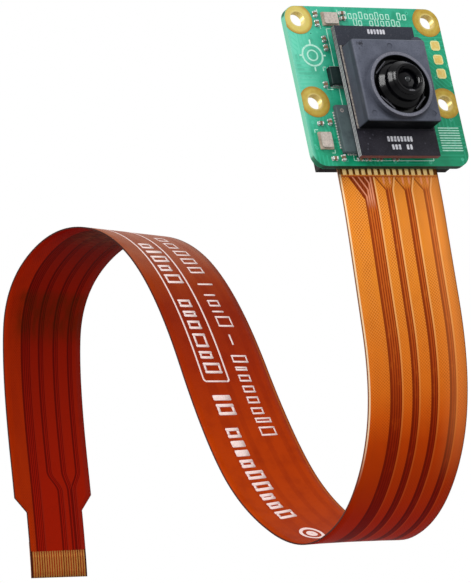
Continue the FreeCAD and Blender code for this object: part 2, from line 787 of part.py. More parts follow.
bodies, ends = passive_boxes(front_passives)
parts.append(many_boxes("front_capacitors", -passive_height, 0.0, bodies))
parts.append(many_boxes("front_capacitor_ends", -passive_height, 0.0, ends))
bodies, ends = passive_boxes(back_passives)
parts.append(many_boxes("back_capacitors", board_back, board_back + passive_height, bodies))
parts.append(many_boxes("back_capacitor_ends", board_back, board_back + passive_height, ends))

# Memory chip and voltage regulator on the back
memory_front = board_back + memory_lead_thickness
memory = boxes_back("memory_chip", memory_front, board_back + memory_depth, [(memory_x, memory_z, memory_width, memory_height)])
bevel_edges(memory, memory.Tip, edges_at_y(memory.Shape, (board_back + memory_depth).number), chip_chamfer * 2, "memory_chip_bevel")
parts.append(memory)
memory_leads = []
for i in range(4):
    level = memory_z + memory_lead_spacing * (i - 1.5)
    for side in (-1, 1):
        place = memory_x + (memory_width / 2 + memory_lead_length / 2 - lead_tuck) * side
        memory_leads.append((place, level, memory_lead_length, memory_lead_width))
parts.append(many_boxes("memory_leads", board_back, memory_front, memory_leads))
regulator_front = board_back + memory_lead_thickness * 0.75
parts.append(boxes_back("regulator_chip", regulator_front, board_back + regulator_depth, [
    (regulator_x, regulator_z, regulator_width, regulator_height),
]))
regulator_leads = []
for i, side in ((0, -1), (1, -1), (2, -1), (0, 1), (2, 1)):
    level = regulator_z + regulator_lead_spacing * (i - 1)
    place = regulator_x + (regulator_width / 2 + regulator_lead_length / 2 - lead_tuck) * side
    regulator_leads.append((place, level, regulator_lead_length, regulator_lead_width))
parts.append(many_boxes("regulator_leads", board_back, regulator_front, regulator_leads))

# Cable connector: housing with a slot and a comb for the contacts
film_front = cable_y - film_thickness / 2
film_back = cable_y + film_thickness / 2
slot_front = film_front - finger_thickness - cable_gap
tongue_front = film_back + stiffener_thickness + cable_gap
tongue_back = tongue_front + tongue_thickness
slot_back = tongue_back + cable_gap
slot_width = film_width + slot_side_gap * 2
slot_top = housing_top - contact_tail
housing_back = board_back + housing_depth
housing_middle = (housing_top + housing_bottom) / 2
housing = boxes_back("connector_housing", board_back, housing_back, [(0, housing_middle, housing_width, housing_height)])
round_edges(housing, housing.Tip, edges_along_y(housing.Shape), housing_corner, "housing_corners")
sketch = new_sketch(housing, "housing_slot", "XZ_Plane", out=-slot_front)
slot_height = slot_top - housing_bottom + slot_side_gap
draw_box(sketch, 0, slot_top - slot_height / 2, slot_width, slot_height)
pocket(housing, sketch, slot_back - slot_front, "housing_slot_cut")
sketch = new_sketch(housing, "housing_comb", "XZ_Plane", out=-board_back)
comb_width = contact_width + contact_play * 2
comb_height = housing_height - comb_floor
comb_first = -contact_spacing * ((wide_ways - 1) / 2)
comb_middle = housing_top - comb_height / 2 + slot_side_gap / 2
draw_box(sketch, comb_first, comb_middle, comb_width, comb_height + slot_side_gap)
comb = pocket(housing, sketch, slot_front - board_back, "housing_comb_cut")
repeat(housing, comb, sketch, "H_Axis", contact_spacing, wide_ways, "housing_comb_row")
parts.append(housing)

# Connector contacts: bent strips that lie in the comb and press on the cable's fingers
contacts = new_body("connector_contacts")
beam_y = board_back + contact_thickness
tip_y = slot_front + cable_gap - contact_play
sketch = new_sketch(contacts, "contact_profile", "YZ_Plane", out=comb_first - contact_width / 2)
rise_bottom = housing_top - contact_bend_length
tip_middle = housing_top - contact_tip_distance
draw_outline(sketch, [
    (board_back, housing_top + contact_tail),
    (beam_y, housing_top + contact_tail),
    (beam_y, housing_top - contact_rise_length),
    (beam_y + contact_thickness, rise_bottom),
    (tip_y - contact_tip_drop, tip_middle + contact_tip_half),
    (tip_y, tip_middle),
    (tip_y - contact_tip_drop, tip_middle - contact_tip_half),
    (tip_y - contact_tip_drop - contact_thickness, tip_middle - contact_tip_half),
    (beam_y, rise_bottom - contact_rise_length),
    (board_back, rise_bottom - contact_tip_drop),
])
first = pad(contacts, sketch, contact_width, "contact_first")
row_sketch = new_sketch(contacts, "contact_row", "XZ_Plane")
draw_circle(row_sketch, 0, 0, contact_spacing)
repeat(contacts, first, row_sketch, "H_Axis", contact_spacing, wide_ways, "contact_row_pattern")
row_sketch.Visibility = False
parts.append(contacts)

tab_x = housing_width / 2 + tab_width / 2
tab_z = housing_top - tab_height / 2 - tab_drop
parts.append(boxes_back("connector_tabs", board_back, board_back + tab_thickness, [
    (tab_x, tab_z, tab_width, tab_height),
    (-tab_x, tab_z, tab_width, tab_height),
]))

# Sliding latch: a bar across the mouth, two side arms outside the housing and a tongue that presses the cable
latch = new_body("connector_latch")
latch_top = housing_bottom - latch_play
latch_width = housing_width + latch_play * 2 + latch_wall * 2
sketch = new_sketch(latch, "latch_bar", "XZ_Plane", out=-tongue_front)
draw_box(sketch, 0, latch_top - latch_depth / 2, latch_width, latch_depth)
pad(latch, sketch, housing_back - tongue_front, "latch_bar_pad", back=True)
sketch = new_sketch(latch, "latch_tongue", "XZ_Plane", out=-tongue_front)
draw_box(sketch, 0, latch_top + tongue_length / 2 - latch_play, film_width - slot_side_gap * 2, tongue_length + latch_play * 2)
pad(latch, sketch, tongue_thickness, "latch_tongue_pad", back=True)
arm_x = housing_width / 2 + latch_play + latch_wall / 2
arm_front = board_back + tab_thickness + latch_play
for name, side in (("left", -1), ("right", 1)):
    sketch = new_sketch(latch, "latch_arm_" + name, "XZ_Plane", out=-arm_front)
    arm_height = latch_depth + latch_arm_length
    draw_box(sketch, arm_x * side, latch_top - latch_depth + arm_height / 2, latch_wall, arm_height)
    pad(latch, sketch, housing_back - arm_front, "latch_arm_pad_" + name, back=True)
sketch = new_sketch(latch, "latch_grip_groove", "XZ_Plane", out=-(housing_back - latch_grip * 0.5))
draw_box(sketch, 0, latch_top - latch_depth * 0.45, film_width * 0.7, latch_grip)
pocket(latch, sketch, latch_grip * 0.5, "latch_grip_cut")
parts.append(latch)

# Film cable: the route of its middle line, from its end inside the connector to its free narrow end
film_end = slot_top - film_end_gap


def route_point(number, side, out, rise):
    # a named point: to the side, out from the board's front face, and up from the board's lower edge
    name = "route_" + str(number)
    place = (size(name + "_side", side), size(name + "_out", out), board_bottom + size(name + "_rise", rise))
    return tuple(value.number for value in place)


route = [
    (0.0, cable_y.number, film_end.number),
    (0.0, cable_y.number, (housing_bottom - latch_depth * 2 - tongue_length / 2).number),
    route_point(1, -0.1, 2.9, -13.15),
    route_point(2, 2.7, 8.8, -26.85),
    route_point(3, 3.4, 15.4, -36.85),
    route_point(4, 3.3, 25.5, -43.65),
    route_point(5, 1.6, 35.5, -43.85),
    route_point(6, -1.7, 43.6, -34.75),
    route_point(7, -3.3, 47.8, -22.45),
    route_point(8, -4.4, 52.1, 1.05),
    route_point(9, -7.1, 58.1, 13.65),
    route_point(10, -10.7, 69.6, 18.65),
    route_point(11, -14.3, 81.6, 13.95),
    route_point(12, -15.1, 86.6, 1.45),
    route_point(13, -14.5, 92.1, -24.55),
    route_point(14, -14.6, 93.4, -29.25),
]
doc.recompute()


def route_edges(points):
    corners = [FreeCAD.Vector(*p) for p in points]
    edges = []
    radii = []
    start = corners[0]
    for i in range(1, len(corners) - 1):
        before = corners[i - 1] - corners[i]
        after = corners[i + 1] - corners[i]
        reach = arc_share.number * min(before.Length, after.Length)
        half_turn = (math.pi - before.getAngle(after)) / 2
        radius = reach / math.tan(half_turn)
        into = before.normalize()
        away = after.normalize()
        first_point = corners[i] + into * reach
        last_point = corners[i] + away * reach
        inward = (into + away).normalize()
        middle = corners[i] + inward * (radius / math.cos(half_turn) - radius)
        edges.append(Part.LineSegment(start, first_point).toShape())
        edges.append(Part.Arc(first_point, middle, last_point).toShape())
        radii.append(round(radius, 1))
        start = last_point
    edges.append(Part.LineSegment(start, corners[-1]).toShape())
    return edges, radii


path_edges, bend_radii = route_edges(route)
path_wire = Part.Wire(path_edges)
path_length = path_wire.Length
print("cable bend radii", bend_radii)
print("cable length", round(path_length, 2))

stations = []
travelled = 0.0
for edge in path_edges:
    pieces = 1 if edge.Curve.TypeId == "Part::GeomLine" else max(2, int(edge.Length / 2.5) + 1)
    for i in range(pieces):
        stations.append((travelled + edge.Length * i / pieces, edge, edge.Length * i / pieces))
    travelled += edge.Length
stations.append((path_length, path_edges[-1], path_edges[-1].Length))
end_marks = [
    wide_finger_length.number,
    wide_stiffener_length.number,
    path_length - narrow_stiffener_length.number,
    path_length - narrow_finger_length.number,
]
plain_places = [s[0] for s in stations if min(abs(s[0] - mark) for mark in end_marks) > 0.1]
station_places = sorted(plain_places + end_marks)


def station_at(distance):
    left = min(max(distance, 0.0), path_length)
    for edge in path_edges:
        if left <= edge.Length + 1e-9:
            break
        left -= edge.Length
    left = min(left, edge.Length)
    parameter = edge.getParameterByLength(left)
    point = edge.valueAt(parameter)
    tangent = edge.tangentAt(parameter)
    share = (distance - twist_start.number) / (twist_end.number - twist_start.number)
    share = min(max(share, 0.0), 1.0)
    angle = math.radians(twist_angle.number) * share * share * (3 - 2 * share)
    across = FreeCAD.Vector(math.cos(angle), math.sin(angle), 0)
    across = (across - tangent * across.dot(tangent)).normalize()
    outward = tangent.cross(across)
    return point, across, outward


def film_section(distance, left, right, low, high):
    point, across, outward = station_at(distance)
    corners = []
    for a, b in ((left, low), (right, low), (right, high), (left, high)):
        corners.append(point + across * a + outward * b)
    return Part.makePolygon(corners + [corners[0]])


def film_strip(start, end, left, right, low, high, end_left=None, end_right=None):
    inner = [place for place in station_places if start + 0.1 < place < end - 0.1]
    places = [start] + inner + [end]
    wires = []
    for place in places:
        share = (place - start) / (end - start)
        a = left if end_left is None else left + (end_left - left) * share
        b = right if end_right is None else right + (end_right - right) * share
        wires.append(film_section(place, a, b, low, high))
    return Part.makeLoft(wires, True, True)


half_film = film_width.number / 2
half_narrow = film_narrow_width.number / 2
half_thick = film_thickness.number / 2
main_strip = film_strip(0.0, neck_start.number, -half_film, half_film, -half_thick, half_thick)
neck_strip = film_strip(neck_start.number, neck_end.number, -half_film, half_film, -half_thick, half_thick, -half_narrow, half_narrow)
end_strip = film_strip(neck_end.number, path_length, -half_narrow, half_narrow, -half_thick, half_thick)
film_shape = main_strip.fuse([neck_strip, end_strip])
film = doc.addObject("Part::Feature", "flex_cable")
film.Label = "flex_cable"
film.Shape = film_shape.Solids[0] if len(film_shape.Solids) == 1 else film_shape
parts.append(film)
narrow_length = path_length - neck_end.number
neck_length = neck_end.number - neck_start.number
expected = film_thickness.number * (
    film_width.number * neck_start.number
    + film_narrow_width.number * narrow_length
    + (film_width.number + film_narrow_width.number) / 2 * neck_length
)
print("cable volume", round(film.Shape.Volume, 2), "section times length", round(expected, 2))


def film_piece(name, shapes):
    piece = doc.addObject("Part::Feature", name)
    piece.Label = name
    piece.Shape = shapes[0] if len(shapes) == 1 else Part.makeCompound(shapes)
    parts.append(piece)


face = half_thick
finger_top = half_thick + finger_thickness.number
fingers = []
for i in range(wide_ways):
    middle = (i - (wide_ways - 1) / 2) * contact_spacing.number
    half = wide_finger_width.number / 2
    fingers.append(film_strip(0.0, wide_finger_length.number, middle - half, middle + half, face, finger_top))
film_piece("cable_wide_fingers", fingers)
fingers = []
for i in range(narrow_ways):
    middle = (i - (narrow_ways - 1) / 2) * narrow_finger_spacing.number
    half = narrow_finger_width.number / 2
    start = path_length - narrow_finger_length.number
    fingers.append(film_strip(start, path_length, middle - half, middle + half, face, finger_top))
film_piece("cable_narrow_fingers", fingers)
stiff_low = -half_thick - stiffener_thickness.number
film_piece("wide_stiffener", [
    film_strip(0.0, wide_stiffener_length.number, -half_film, half_film, stiff_low, -half_thick),
])
narrow_stiff_start = path_length - narrow_stiffener_length.number
film_piece("narrow_stiffener", [
    film_strip(narrow_stiff_start, path_length, -half_narrow, half_narrow, stiff_low, -half_thick),
])

doc.recompute()

# Every feature must be sound before the files are written
for item in doc.Objects:
    state = list(item.State)
    assert "Invalid" not in state and "Error" not in state, (item.Name, state)
for item in parts:
    assert not item.Shape.isNull() and item.Shape.isValid(), item.Label
    print(item.Label, len(item.Shape.Solids), round(item.Shape.Volume, 3))
os.makedirs("parts", exist_ok=True)
for item in parts:
    item.Shape.exportStep("parts/" + item.Label + ".step")
print("nodes", len(parts))
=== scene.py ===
import bmesh
import bpy
import math
from mathutils import Matrix, Quaternion, Vector


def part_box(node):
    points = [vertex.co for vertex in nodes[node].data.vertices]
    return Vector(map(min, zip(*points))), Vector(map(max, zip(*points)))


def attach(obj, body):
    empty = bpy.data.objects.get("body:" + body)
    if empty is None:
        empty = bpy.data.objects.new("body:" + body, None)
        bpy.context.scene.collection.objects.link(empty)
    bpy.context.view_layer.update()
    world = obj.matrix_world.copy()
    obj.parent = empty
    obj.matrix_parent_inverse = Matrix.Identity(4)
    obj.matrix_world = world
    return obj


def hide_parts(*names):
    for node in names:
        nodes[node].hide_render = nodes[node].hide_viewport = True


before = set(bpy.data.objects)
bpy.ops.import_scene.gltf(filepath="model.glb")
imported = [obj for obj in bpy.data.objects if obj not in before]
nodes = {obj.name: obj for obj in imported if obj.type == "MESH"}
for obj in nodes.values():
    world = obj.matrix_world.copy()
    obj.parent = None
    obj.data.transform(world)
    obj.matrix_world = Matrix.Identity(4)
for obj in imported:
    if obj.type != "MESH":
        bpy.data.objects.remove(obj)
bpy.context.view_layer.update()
mm = 0.001
print("frame loaded,", len(nodes), "nodes")

# Camera: where the photographer stood, below and to the left of the module
photoCamera = {
    "place": (-0.254328, -0.38178, -0.178128),
    "turn": (0.545813, 0.799082, -0.136782, -0.211769),
    "lens": 218.64,
    "shiftX": -0.02808,
    "shiftY": -0.03743,
}
cameraData = bpy.data.cameras.new("photoCamera")
cameraData.lens = photoCamera["lens"]
cameraData.sensor_width = 36
cameraData.shift_x = photoCamera["shiftX"]
cameraData.shift_y = photoCamera["shiftY"]
cameraData.clip_start = 0.01
cameraData.clip_end = 30
camera = bpy.data.objects.new("photoCamera", cameraData)
bpy.context.scene.collection.objects.link(camera)
camera.location = photoCamera["place"]
camera.rotation_mode = "QUATERNION"
camera.rotation_quaternion = Quaternion(photoCamera["turn"])
bpy.context.scene.camera = camera
print("camera set")


# Colours are written as they look on a screen, 0 to 255
def linear(level):
    share = level / 255
    return share / 12.92 if share <= 0.04045 else ((share + 0.055) / 1.055) ** 2.4


def paint(red, green, blue):
    return (linear(red), linear(green), linear(blue), 1.0)


# A number, place or colour on its way through a material
class Flow:
    def __init__(self, finish, socket):
        self.finish = finish
        self.socket = socket

    def maths(self, operation, *inputs):
        return self.finish.node("ShaderNodeMath", {"operation": operation}, dict(enumerate(inputs)))

    def __add__(self, other):
        return self.maths("ADD", self, other)

    def __radd__(self, other):
        return self.maths("ADD", self, other)

    def __sub__(self, other):
        return self.maths("SUBTRACT", self, other)

    def __rsub__(self, other):
        return self.maths("SUBTRACT", other, self)

    def __mul__(self, other):
        return self.maths("MULTIPLY", self, other)

    def __rmul__(self, other):
        return self.maths("MULTIPLY", self, other)

    def __truediv__(self, other):
        return self.maths("DIVIDE", self, other)

    def __gt__(self, other):
        return self.maths("GREATER_THAN", self, other)

    def __lt__(self, other):
        return self.maths("LESS_THAN", self, other)

    def size(self):
        return self.maths("ABSOLUTE", self)

    def most(self, other):
        return self.maths("MAXIMUM", self, other)

    def least(self, other):
        return self.maths("MINIMUM", self, other)

    def wave(self, period):
        return self.maths("SINE", self * (2 * math.pi / period))

    def away(self, other):
        # distance from the middle, of two places across it
        return self.maths("SQRT", self * self + other * other)

    def rise(self, low, high):
        inputs = {"Value": self, "From Min": low, "From Max": high}
        return self.finish.node("ShaderNodeMapRange", {"interpolation_type": "SMOOTHSTEP"}, inputs)

    def fall(self, low, high):
        return 1 - self.rise(low, high)

    def span(self, low, high, soft=0.03):
        return self.rise(low - soft, low + soft) * self.fall(high - soft, high + soft)

    def noise(self, scale, detail=3.0, rough=0.5):
        inputs = {"Vector": self, "Scale": scale, "Detail": detail, "Roughness": rough}
        return self.finish.node("ShaderNodeTexNoise", None, inputs)

    def cells(self, scale, settings=None, output="Distance"):
        return self.finish.node("ShaderNodeTexVoronoi", settings, {"Vector": self, "Scale": scale}, output)

    def ramp(self, stops):
        return self.finish.node("ShaderNodeValToRGB", {"stops": stops}, {0: self})

    def mix(self, other, mask):
        return self.finish.mix(self, other, mask)

    def split(self):
        return self.finish.node("ShaderNodeSeparateXYZ", None, {0: self}, (0, 1, 2))


# One material: constants go straight on the shader, everything else comes through node()
class Finish:
    def __init__(self, name, constants):
        self.material = bpy.data.materials.new(name)
        self.material.use_nodes = True
        self.tree = self.material.node_tree
        self.shader = self.tree.nodes["Principled BSDF"]
        for socket, value in constants.items():
            self.shader.inputs[socket].default_value = value

    def feed(self, socket, value):
        # three numbers are a colour as it looks on a screen
        if isinstance(value, Flow):
            self.tree.links.new(value.socket, socket)
        elif isinstance(value, tuple) and len(value) == 3:
            socket.default_value = paint(*value)
        else:
            socket.default_value = value

    def node(self, kind, settings=None, inputs=None, output=0):
        made = self.tree.nodes.new(kind)
        for key, value in (settings or {}).items():
            if key == "stops":
                while len(made.color_ramp.elements) < len(value):
                    made.color_ramp.elements.new(0.5)
                for element, (place, colour) in zip(made.color_ramp.elements, value):
                    element.position = place
                    element.color = paint(*colour)
            else:
                setattr(made, key, value)
        for key, value in (inputs or {}).items():
            self.feed(made.inputs[key], value)
        if isinstance(output, tuple):
            return [Flow(self, made.outputs[one]) for one in output]
        return Flow(self, made.outputs[output])

    def place(self):
        # the piece's own place in millimetres
        spot = self.node("ShaderNodeTexCoord", output="Object")
        return self.node("ShaderNodeVectorMath", {"operation": "SCALE"}, {0: spot, "Scale": 1 / mm})

    def places(self):
        # the same, and its three numbers
        spot = self.place()
        return (spot, *spot.split())

    def join(self, x, y, z):
        return self.node("ShaderNodeCombineXYZ", None, {0: x, 1: y, 2: z})

    def mix(self, first, second, mask):
        return self.node("ShaderNodeMix", {"data_type": "RGBA"}, {0: mask, 6: first, 7: second}, 2)

    def bump(self, height, strength, distance, under=None):
        # the distance is in mm
        inputs = {"Height": height, "Strength": strength, "Distance": distance * mm}
        if under is not None:
            inputs["Normal"] = under
        return self.node("ShaderNodeBump", None, inputs)

    def soften(self, radius):
        # rounds the look of a moulded edge, with its radius in mm
        return self.node("ShaderNodeBevel", {"samples": 4}, {"Radius": radius * mm})

    def wear(self, colour, rough, normal):
        for name, value in (("Base Color", colour), ("Roughness", rough), ("Normal", normal)):
            self.feed(self.shader.inputs[name], value)
        return self


def dress(finish, *names):
    for name in names:
        if not nodes[name].data.materials:
            nodes[name].data.materials.append(finish.material)
        for slot in nodes[name].material_slots:
            slot.material = finish.material


def cover(finish, *pieces):
    for piece in pieces:
        piece.data.materials.clear()
        piece.data.materials.append(finish.material)
        for polygon in piece.data.polygons:
            polygon.material_index = 0


def intoScene(name, data):
    thing = bpy.data.objects.new(name, data)
    bpy.context.scene.collection.objects.link(thing)
    return thing


# Flat film cable: its middle line, its width direction and its ends
cable = {
    "width": 16.0,
    "thickness": 0.2,
    "narrowWidth": 11.5,
    "neckStart": 187.5,
    "neckEnd": 189.8,
    "twistStart": 40.0,
    "twistEnd": 167.0,
    "twist": 17.2,
    "wideFingers": 15,
    "wideFingerWidth": 0.6,
    "wideFingerLength": 6.3,
    "narrowFingers": 22,
    "narrowSpacing": 0.5,
    "narrowFingerWidth": 0.3,
    "narrowFingerLength": 4.1,
    "fingerHeight": 0.03,
    "wideStiffener": 8.5,
    "narrowStiffener": 5.6,
    "backingHeight": 0.06,
}
# What the film's map spans, in mm
filmMap = {"wide": 16, "long": 200}
cableRoute = [
    (0, 0.0019, -0.01), (0, 0.0019, -0.018), (-0.0001, 0.0029, -0.0289), (0.0027, 0.0088, -0.0426),
    (0.0034, 0.0154, -0.0526), (0.0033, 0.0255, -0.0594), (0.0016, 0.0355, -0.0596), (-0.0017, 0.0436, -0.0505),
    (-0.0033, 0.0478, -0.0382), (-0.0044, 0.0521, -0.0147), (-0.0071, 0.0581, -0.0021), (-0.0107, 0.0696, 0.0029),
    (-0.0143, 0.0816, -0.0018), (-0.0151, 0.0866, -0.0143), (-0.0145, 0.0921, -0.0403), (-0.0146, 0.0934, -0.045),
]
lineData = bpy.data.curves.new("cableLine", "CURVE")
lineData.dimensions = "3D"
spline = lineData.splines.new("NURBS")
spline.points.add(len(cableRoute) - 1)
for point, spot in zip(spline.points, cableRoute):
    point.co = (*spot, 1)
spline.order_u = 3
spline.use_endpoint_u = True
spline.resolution_u = 32
lineObject = intoScene("cableLine", lineData)
bpy.context.view_layer.update()
lineMesh = bpy.data.meshes.new_from_object(lineObject)
linePoints = [vertex.co.copy() for vertex in lineMesh.vertices]
bpy.data.objects.remove(lineObject)
bpy.data.meshes.remove(lineMesh)
lineLengths = [0.0]
for before, after in zip(linePoints[:-1], linePoints[1:]):
    lineLengths.append(lineLengths[-1] + (after - before).length)
cableLength = lineLengths[-1] / mm
print("cable line", round(cableLength, 2), "mm,", len(linePoints), "points")


def along(distance):
    # place and direction at a distance in mm along the cable
    reach = min(max(distance * mm, 0.0), lineLengths[-1])
    low, high = 0, len(lineLengths) - 1
    while high - low > 1:
        middle = (low + high) // 2
        if lineLengths[middle] <= reach:
            low = middle
        else:
            high = middle
    share = (reach - lineLengths[low]) / (lineLengths[high] - lineLengths[low])
    spot = linePoints[low].lerp(linePoints[high], share)
    wayHere = linePoints[min(low + 1, len(linePoints) - 1)] - linePoints[max(low - 1, 0)]
    wayNext = linePoints[min(high + 1, len(linePoints) - 1)] - linePoints[max(high - 1, 0)]
    return spot, wayHere.normalized().lerp(wayNext.normalized(), share).normalized()


def onFilm(distance, across, height):
    # a point on the film: along it, across it from its middle, and out from its copper face, in mm
    spot, way = along(distance)
    share = min(max((distance - cable["twistStart"]) / (cable["twistEnd"] - cable["twistStart"]), 0), 1)
    turn = math.radians(cable["twist"]) * share * share * (3 - 2 * share)
    side = Vector((math.cos(turn), math.sin(turn), 0))
    side = (side - way * side.dot(way)).normalized()
    out = way.cross(side)
    return spot + side * (across * mm) + out * (height * mm)


def halfWidth(distance):
    neck = min(max((distance - cable["neckStart"]) / (cable["neckEnd"] - cable["neckStart"]), 0), 1)
    return cable["width"] / 2 + (cable["narrowWidth"] - cable["width"]) / 2 * neck


def steps(start, end, spacing, marks=()):
    count = max(1, round((end - start) / spacing))
    found = [start + (end - start) * i / count for i in range(count + 1)]
    return sorted(set(found + [mark for mark in marks if start < mark < end]))


def turnedOut(name, mesh):
    # the faces are turned outwards
    shape = bmesh.new()
    shape.from_mesh(mesh)
    bmesh.ops.recalc_face_normals(shape, faces=shape.faces)
    shape.to_mesh(mesh)
    shape.free()
    return intoScene(name, mesh)


def filmMesh(name, columns, stations, low, high):
    # a strip between two heights over the film; columns gives its across places at a distance
    rowCount = len(columns(stations[0]))
    places = [(across, distance) for distance in stations for across in columns(distance)]
    layer = len(places)
    vertices = [onFilm(distance, across, height) for height in (high, low) for across, distance in places]
    faces, kinds = [], []

    def add(kind, face, flip=False):
        faces.append(face[::-1] if flip else face)
        kinds.append(kind)

    for i in range(len(stations) - 1):
        for j in range(rowCount - 1):
            a = i * rowCount + j
            b = a + rowCount
            add(0, (a, a + 1, b + 1, b))
            add(1, (layer + a, layer + b, layer + b + 1, layer + a + 1))
        for j in (0, rowCount - 1):
            a = i * rowCount + j
            b = a + rowCount
            add(2, (a, b, layer + b, layer + a), j > 0)
    for i in (0, len(stations) - 1):
        for j in range(rowCount - 1):
            a = i * rowCount + j
            add(2, (a, a + 1, layer + a + 1, layer + a), i == 0)
    mesh = bpy.data.meshes.new(name)
    mesh.from_pydata(vertices, [], faces)
    layerMap = mesh.uv_layers.new(name="filmMap")
    for polygon, kind in zip(mesh.polygons, kinds):
        polygon.material_index = kind
        polygon.use_smooth = kind < 2
        for loop in polygon.loop_indices:
            across, distance = places[mesh.loops[loop].vertex_index % layer]
            layerMap.data[loop].uv = ((across + filmMap["wide"] / 2) / filmMap["wide"], distance / filmMap["long"])
    mesh.update()
    return turnedOut(name, mesh)


def joined(name, pieces):
    bpy.ops.object.select_all(action="DESELECT")
    for piece in pieces:
        piece.select_set(True)
    bpy.context.view_layer.objects.active = pieces[0]
    if len(pieces) > 1:
        bpy.ops.object.join()
    pieces[0].name = name
    pieces[0].data.name = name
    pieces[0].select_set(False)
    return pieces[0]


def filmColumns(count):
    def columns(distance):
        half = halfWidth(distance)
        return [-half + 2 * half * j / (count - 1) for j in range(count)]
    return columns


def fixedColumns(*places):
    return lambda distance: list(places)


def fingerRow(name, kind, spacing, crown, stations):
    # crown is the share of a finger's half width where its top begins to turn down
    fingers = []
    count, half = cable[kind + "Fingers"], cable[kind + "FingerWidth"] / 2
    for i in range(count):
        middle = (i - (count - 1) / 2) * spacing
        columns = fixedColumns(middle - half, middle - half * crown, middle + half * crown, middle + half)
        fingers.append(filmMesh("finger", columns, stations, halfThick, halfThick + cable["fingerHeight"]))
    return joined(name, fingers)


halfThick = cable["thickness"] / 2
filmStations = steps(0, cableLength, 0.8, (cable["neckStart"], cable["neckEnd"]))
film = filmMesh("filmCable", filmColumns(13), filmStations, -halfThick, halfThick)
wideFingers = fingerRow("wideFingers", "wide", 1.0, 0.8, steps(0, cable["wideFingerLength"], 1.2))
narrowFingers = fingerRow("narrowFingers", "narrow", cable["narrowSpacing"], 0.7,
                          steps(cableLength - cable["narrowFingerLength"], cableLength, 1.0))
backing = -halfThick - cable["backingHeight"]
wideStiffener = filmMesh("wideBacking", fixedColumns(-8, -4, 0, 4, 8), steps(0, cable["wideStiffener"], 0.8),
                         backing, -halfThick)
narrowStiffener = filmMesh("narrowBacking", fixedColumns(-5.75, -3, 0, 3, 5.75),
                           steps(cableLength - cable["narrowStiffener"], cableLength, 0.8), backing, -halfThick)
print("film, fingers and backings made")


# Print on the back of the film: three rows of plain blocks, two bars, a long rounded frame and a ring.
# Each row has its sides across the film, and its blocks start and end along it
filmPrint = {
    "height": 0.02,
    "sink": 0.005,
    "trim": 0.12,
    "rows": [
        {"left": -4.1, "right": -1.7, "tallRight": -0.9, "tall": (0, 3, 4, 9, 10), "stroke": 0.52, "blocks": [
            (76.6, 78.3), (78.9, 80.2), (80.8, 82.0), (82.6, 84.2), (84.8, 86.3), (86.9, 88.3), (88.9, 90.0),
            (90.5, 91.6), (92.1, 93.8), (96.0, 97.9), (98.5, 99.4)]},
        {"left": -3.8, "right": -1.4, "tallRight": -0.65, "tall": (0, 6, 8, 9), "stroke": 0.42, "blocks": [
            (103.1, 104.9), (105.6, 106.9), (107.6, 110.0), (110.8, 112.3), (113.0, 114.1), (114.8, 116.2),
            (119.4, 121.2), (121.9, 123.2), (123.9, 125.3), (126.0, 126.6), (127.2, 128.6)]},
        {"left": 1.95, "right": 4.2, "tallRight": 4.9, "tall": (0, 1, 7, 8, 12, 13, 14), "stroke": 0.3, "blocks": [
            (92.2, 93.8), (94.5, 95.4), (96.0, 97.2), (97.9, 99.1), (99.8, 101.0), (101.7, 102.9), (103.6, 104.3),
            (105.0, 106.3), (111.3, 113.2), (113.9, 114.2), (115.0, 116.2), (117.0, 117.3), (121.5, 122.8),
            (123.5, 124.8), (125.5, 126.8), (127.5, 129.2), (129.9, 131.4)]},
    ],
    "bars": [(3.1, 3.4, 108.1, 109.9), (1.9, 4.9, 119.1, 119.4)],
    "frame": (-4.75, 0.15, 101.6, 135.5),
    "corner": 0.6,
    "stroke": 0.28,
    "ring": (-2.3, 71.9, 1.9, 0.5),
}
inkTop, inkFoot = -halfThick - filmPrint["height"], filmPrint["sink"] - halfThick


def inkStrip(left, right, start, end, trim=filmPrint["trim"]):
    def columns(distance):
        cut = trim if distance in (start, end) and right - left > 0.4 else 0.0
        return [left + cut, (left + right) / 2, right - cut]

    marks = (start + trim, end - trim) if trim else ()
    return filmMesh("ink", columns, steps(start, end, 0.8, marks), inkTop, inkFoot)


def inkBlock(left, right, start, end, stroke):
    # a hollow block of four strips, or a bar where it is too short for a hole
    if end - start < stroke * 2.3:
        return [inkStrip(left, right, start, end)]
    low, high = start + stroke, end - stroke
    return [inkStrip(left, right, start, low), inkStrip(left, right, high, end),
            inkStrip(left + 0.06, left + stroke, low, high, 0.0),
            inkStrip(right - stroke, right - 0.06, low, high, 0.0)]


def inkCorner(middleAcross, middleAlong, fromTurn, reach, wide):
    # a quarter of a ring
    vertices, faces = [], []
    for i in range(7):
        turn = math.radians(fromTurn + 15 * i)
        for away in (reach, reach - wide):
            for height in (inkFoot, inkTop):
                vertices.append(onFilm(middleAlong + math.sin(turn) * away, middleAcross + math.cos(turn) * away,
                                       height))
    for i in range(6):
        a, b = 4 * i, 4 * i + 4
        faces += [(a, a + 1, b + 1, b), (a + 2, b + 2, b + 3, a + 3), (a + 1, a + 3, b + 3, b + 1),
                  (a, b, b + 2, a + 2)]
    faces += [(0, 2, 3, 1), (24, 25, 27, 26)]
    mesh = bpy.data.meshes.new("ink")
    mesh.from_pydata(vertices, [], faces)
    return turnedOut("ink", mesh)


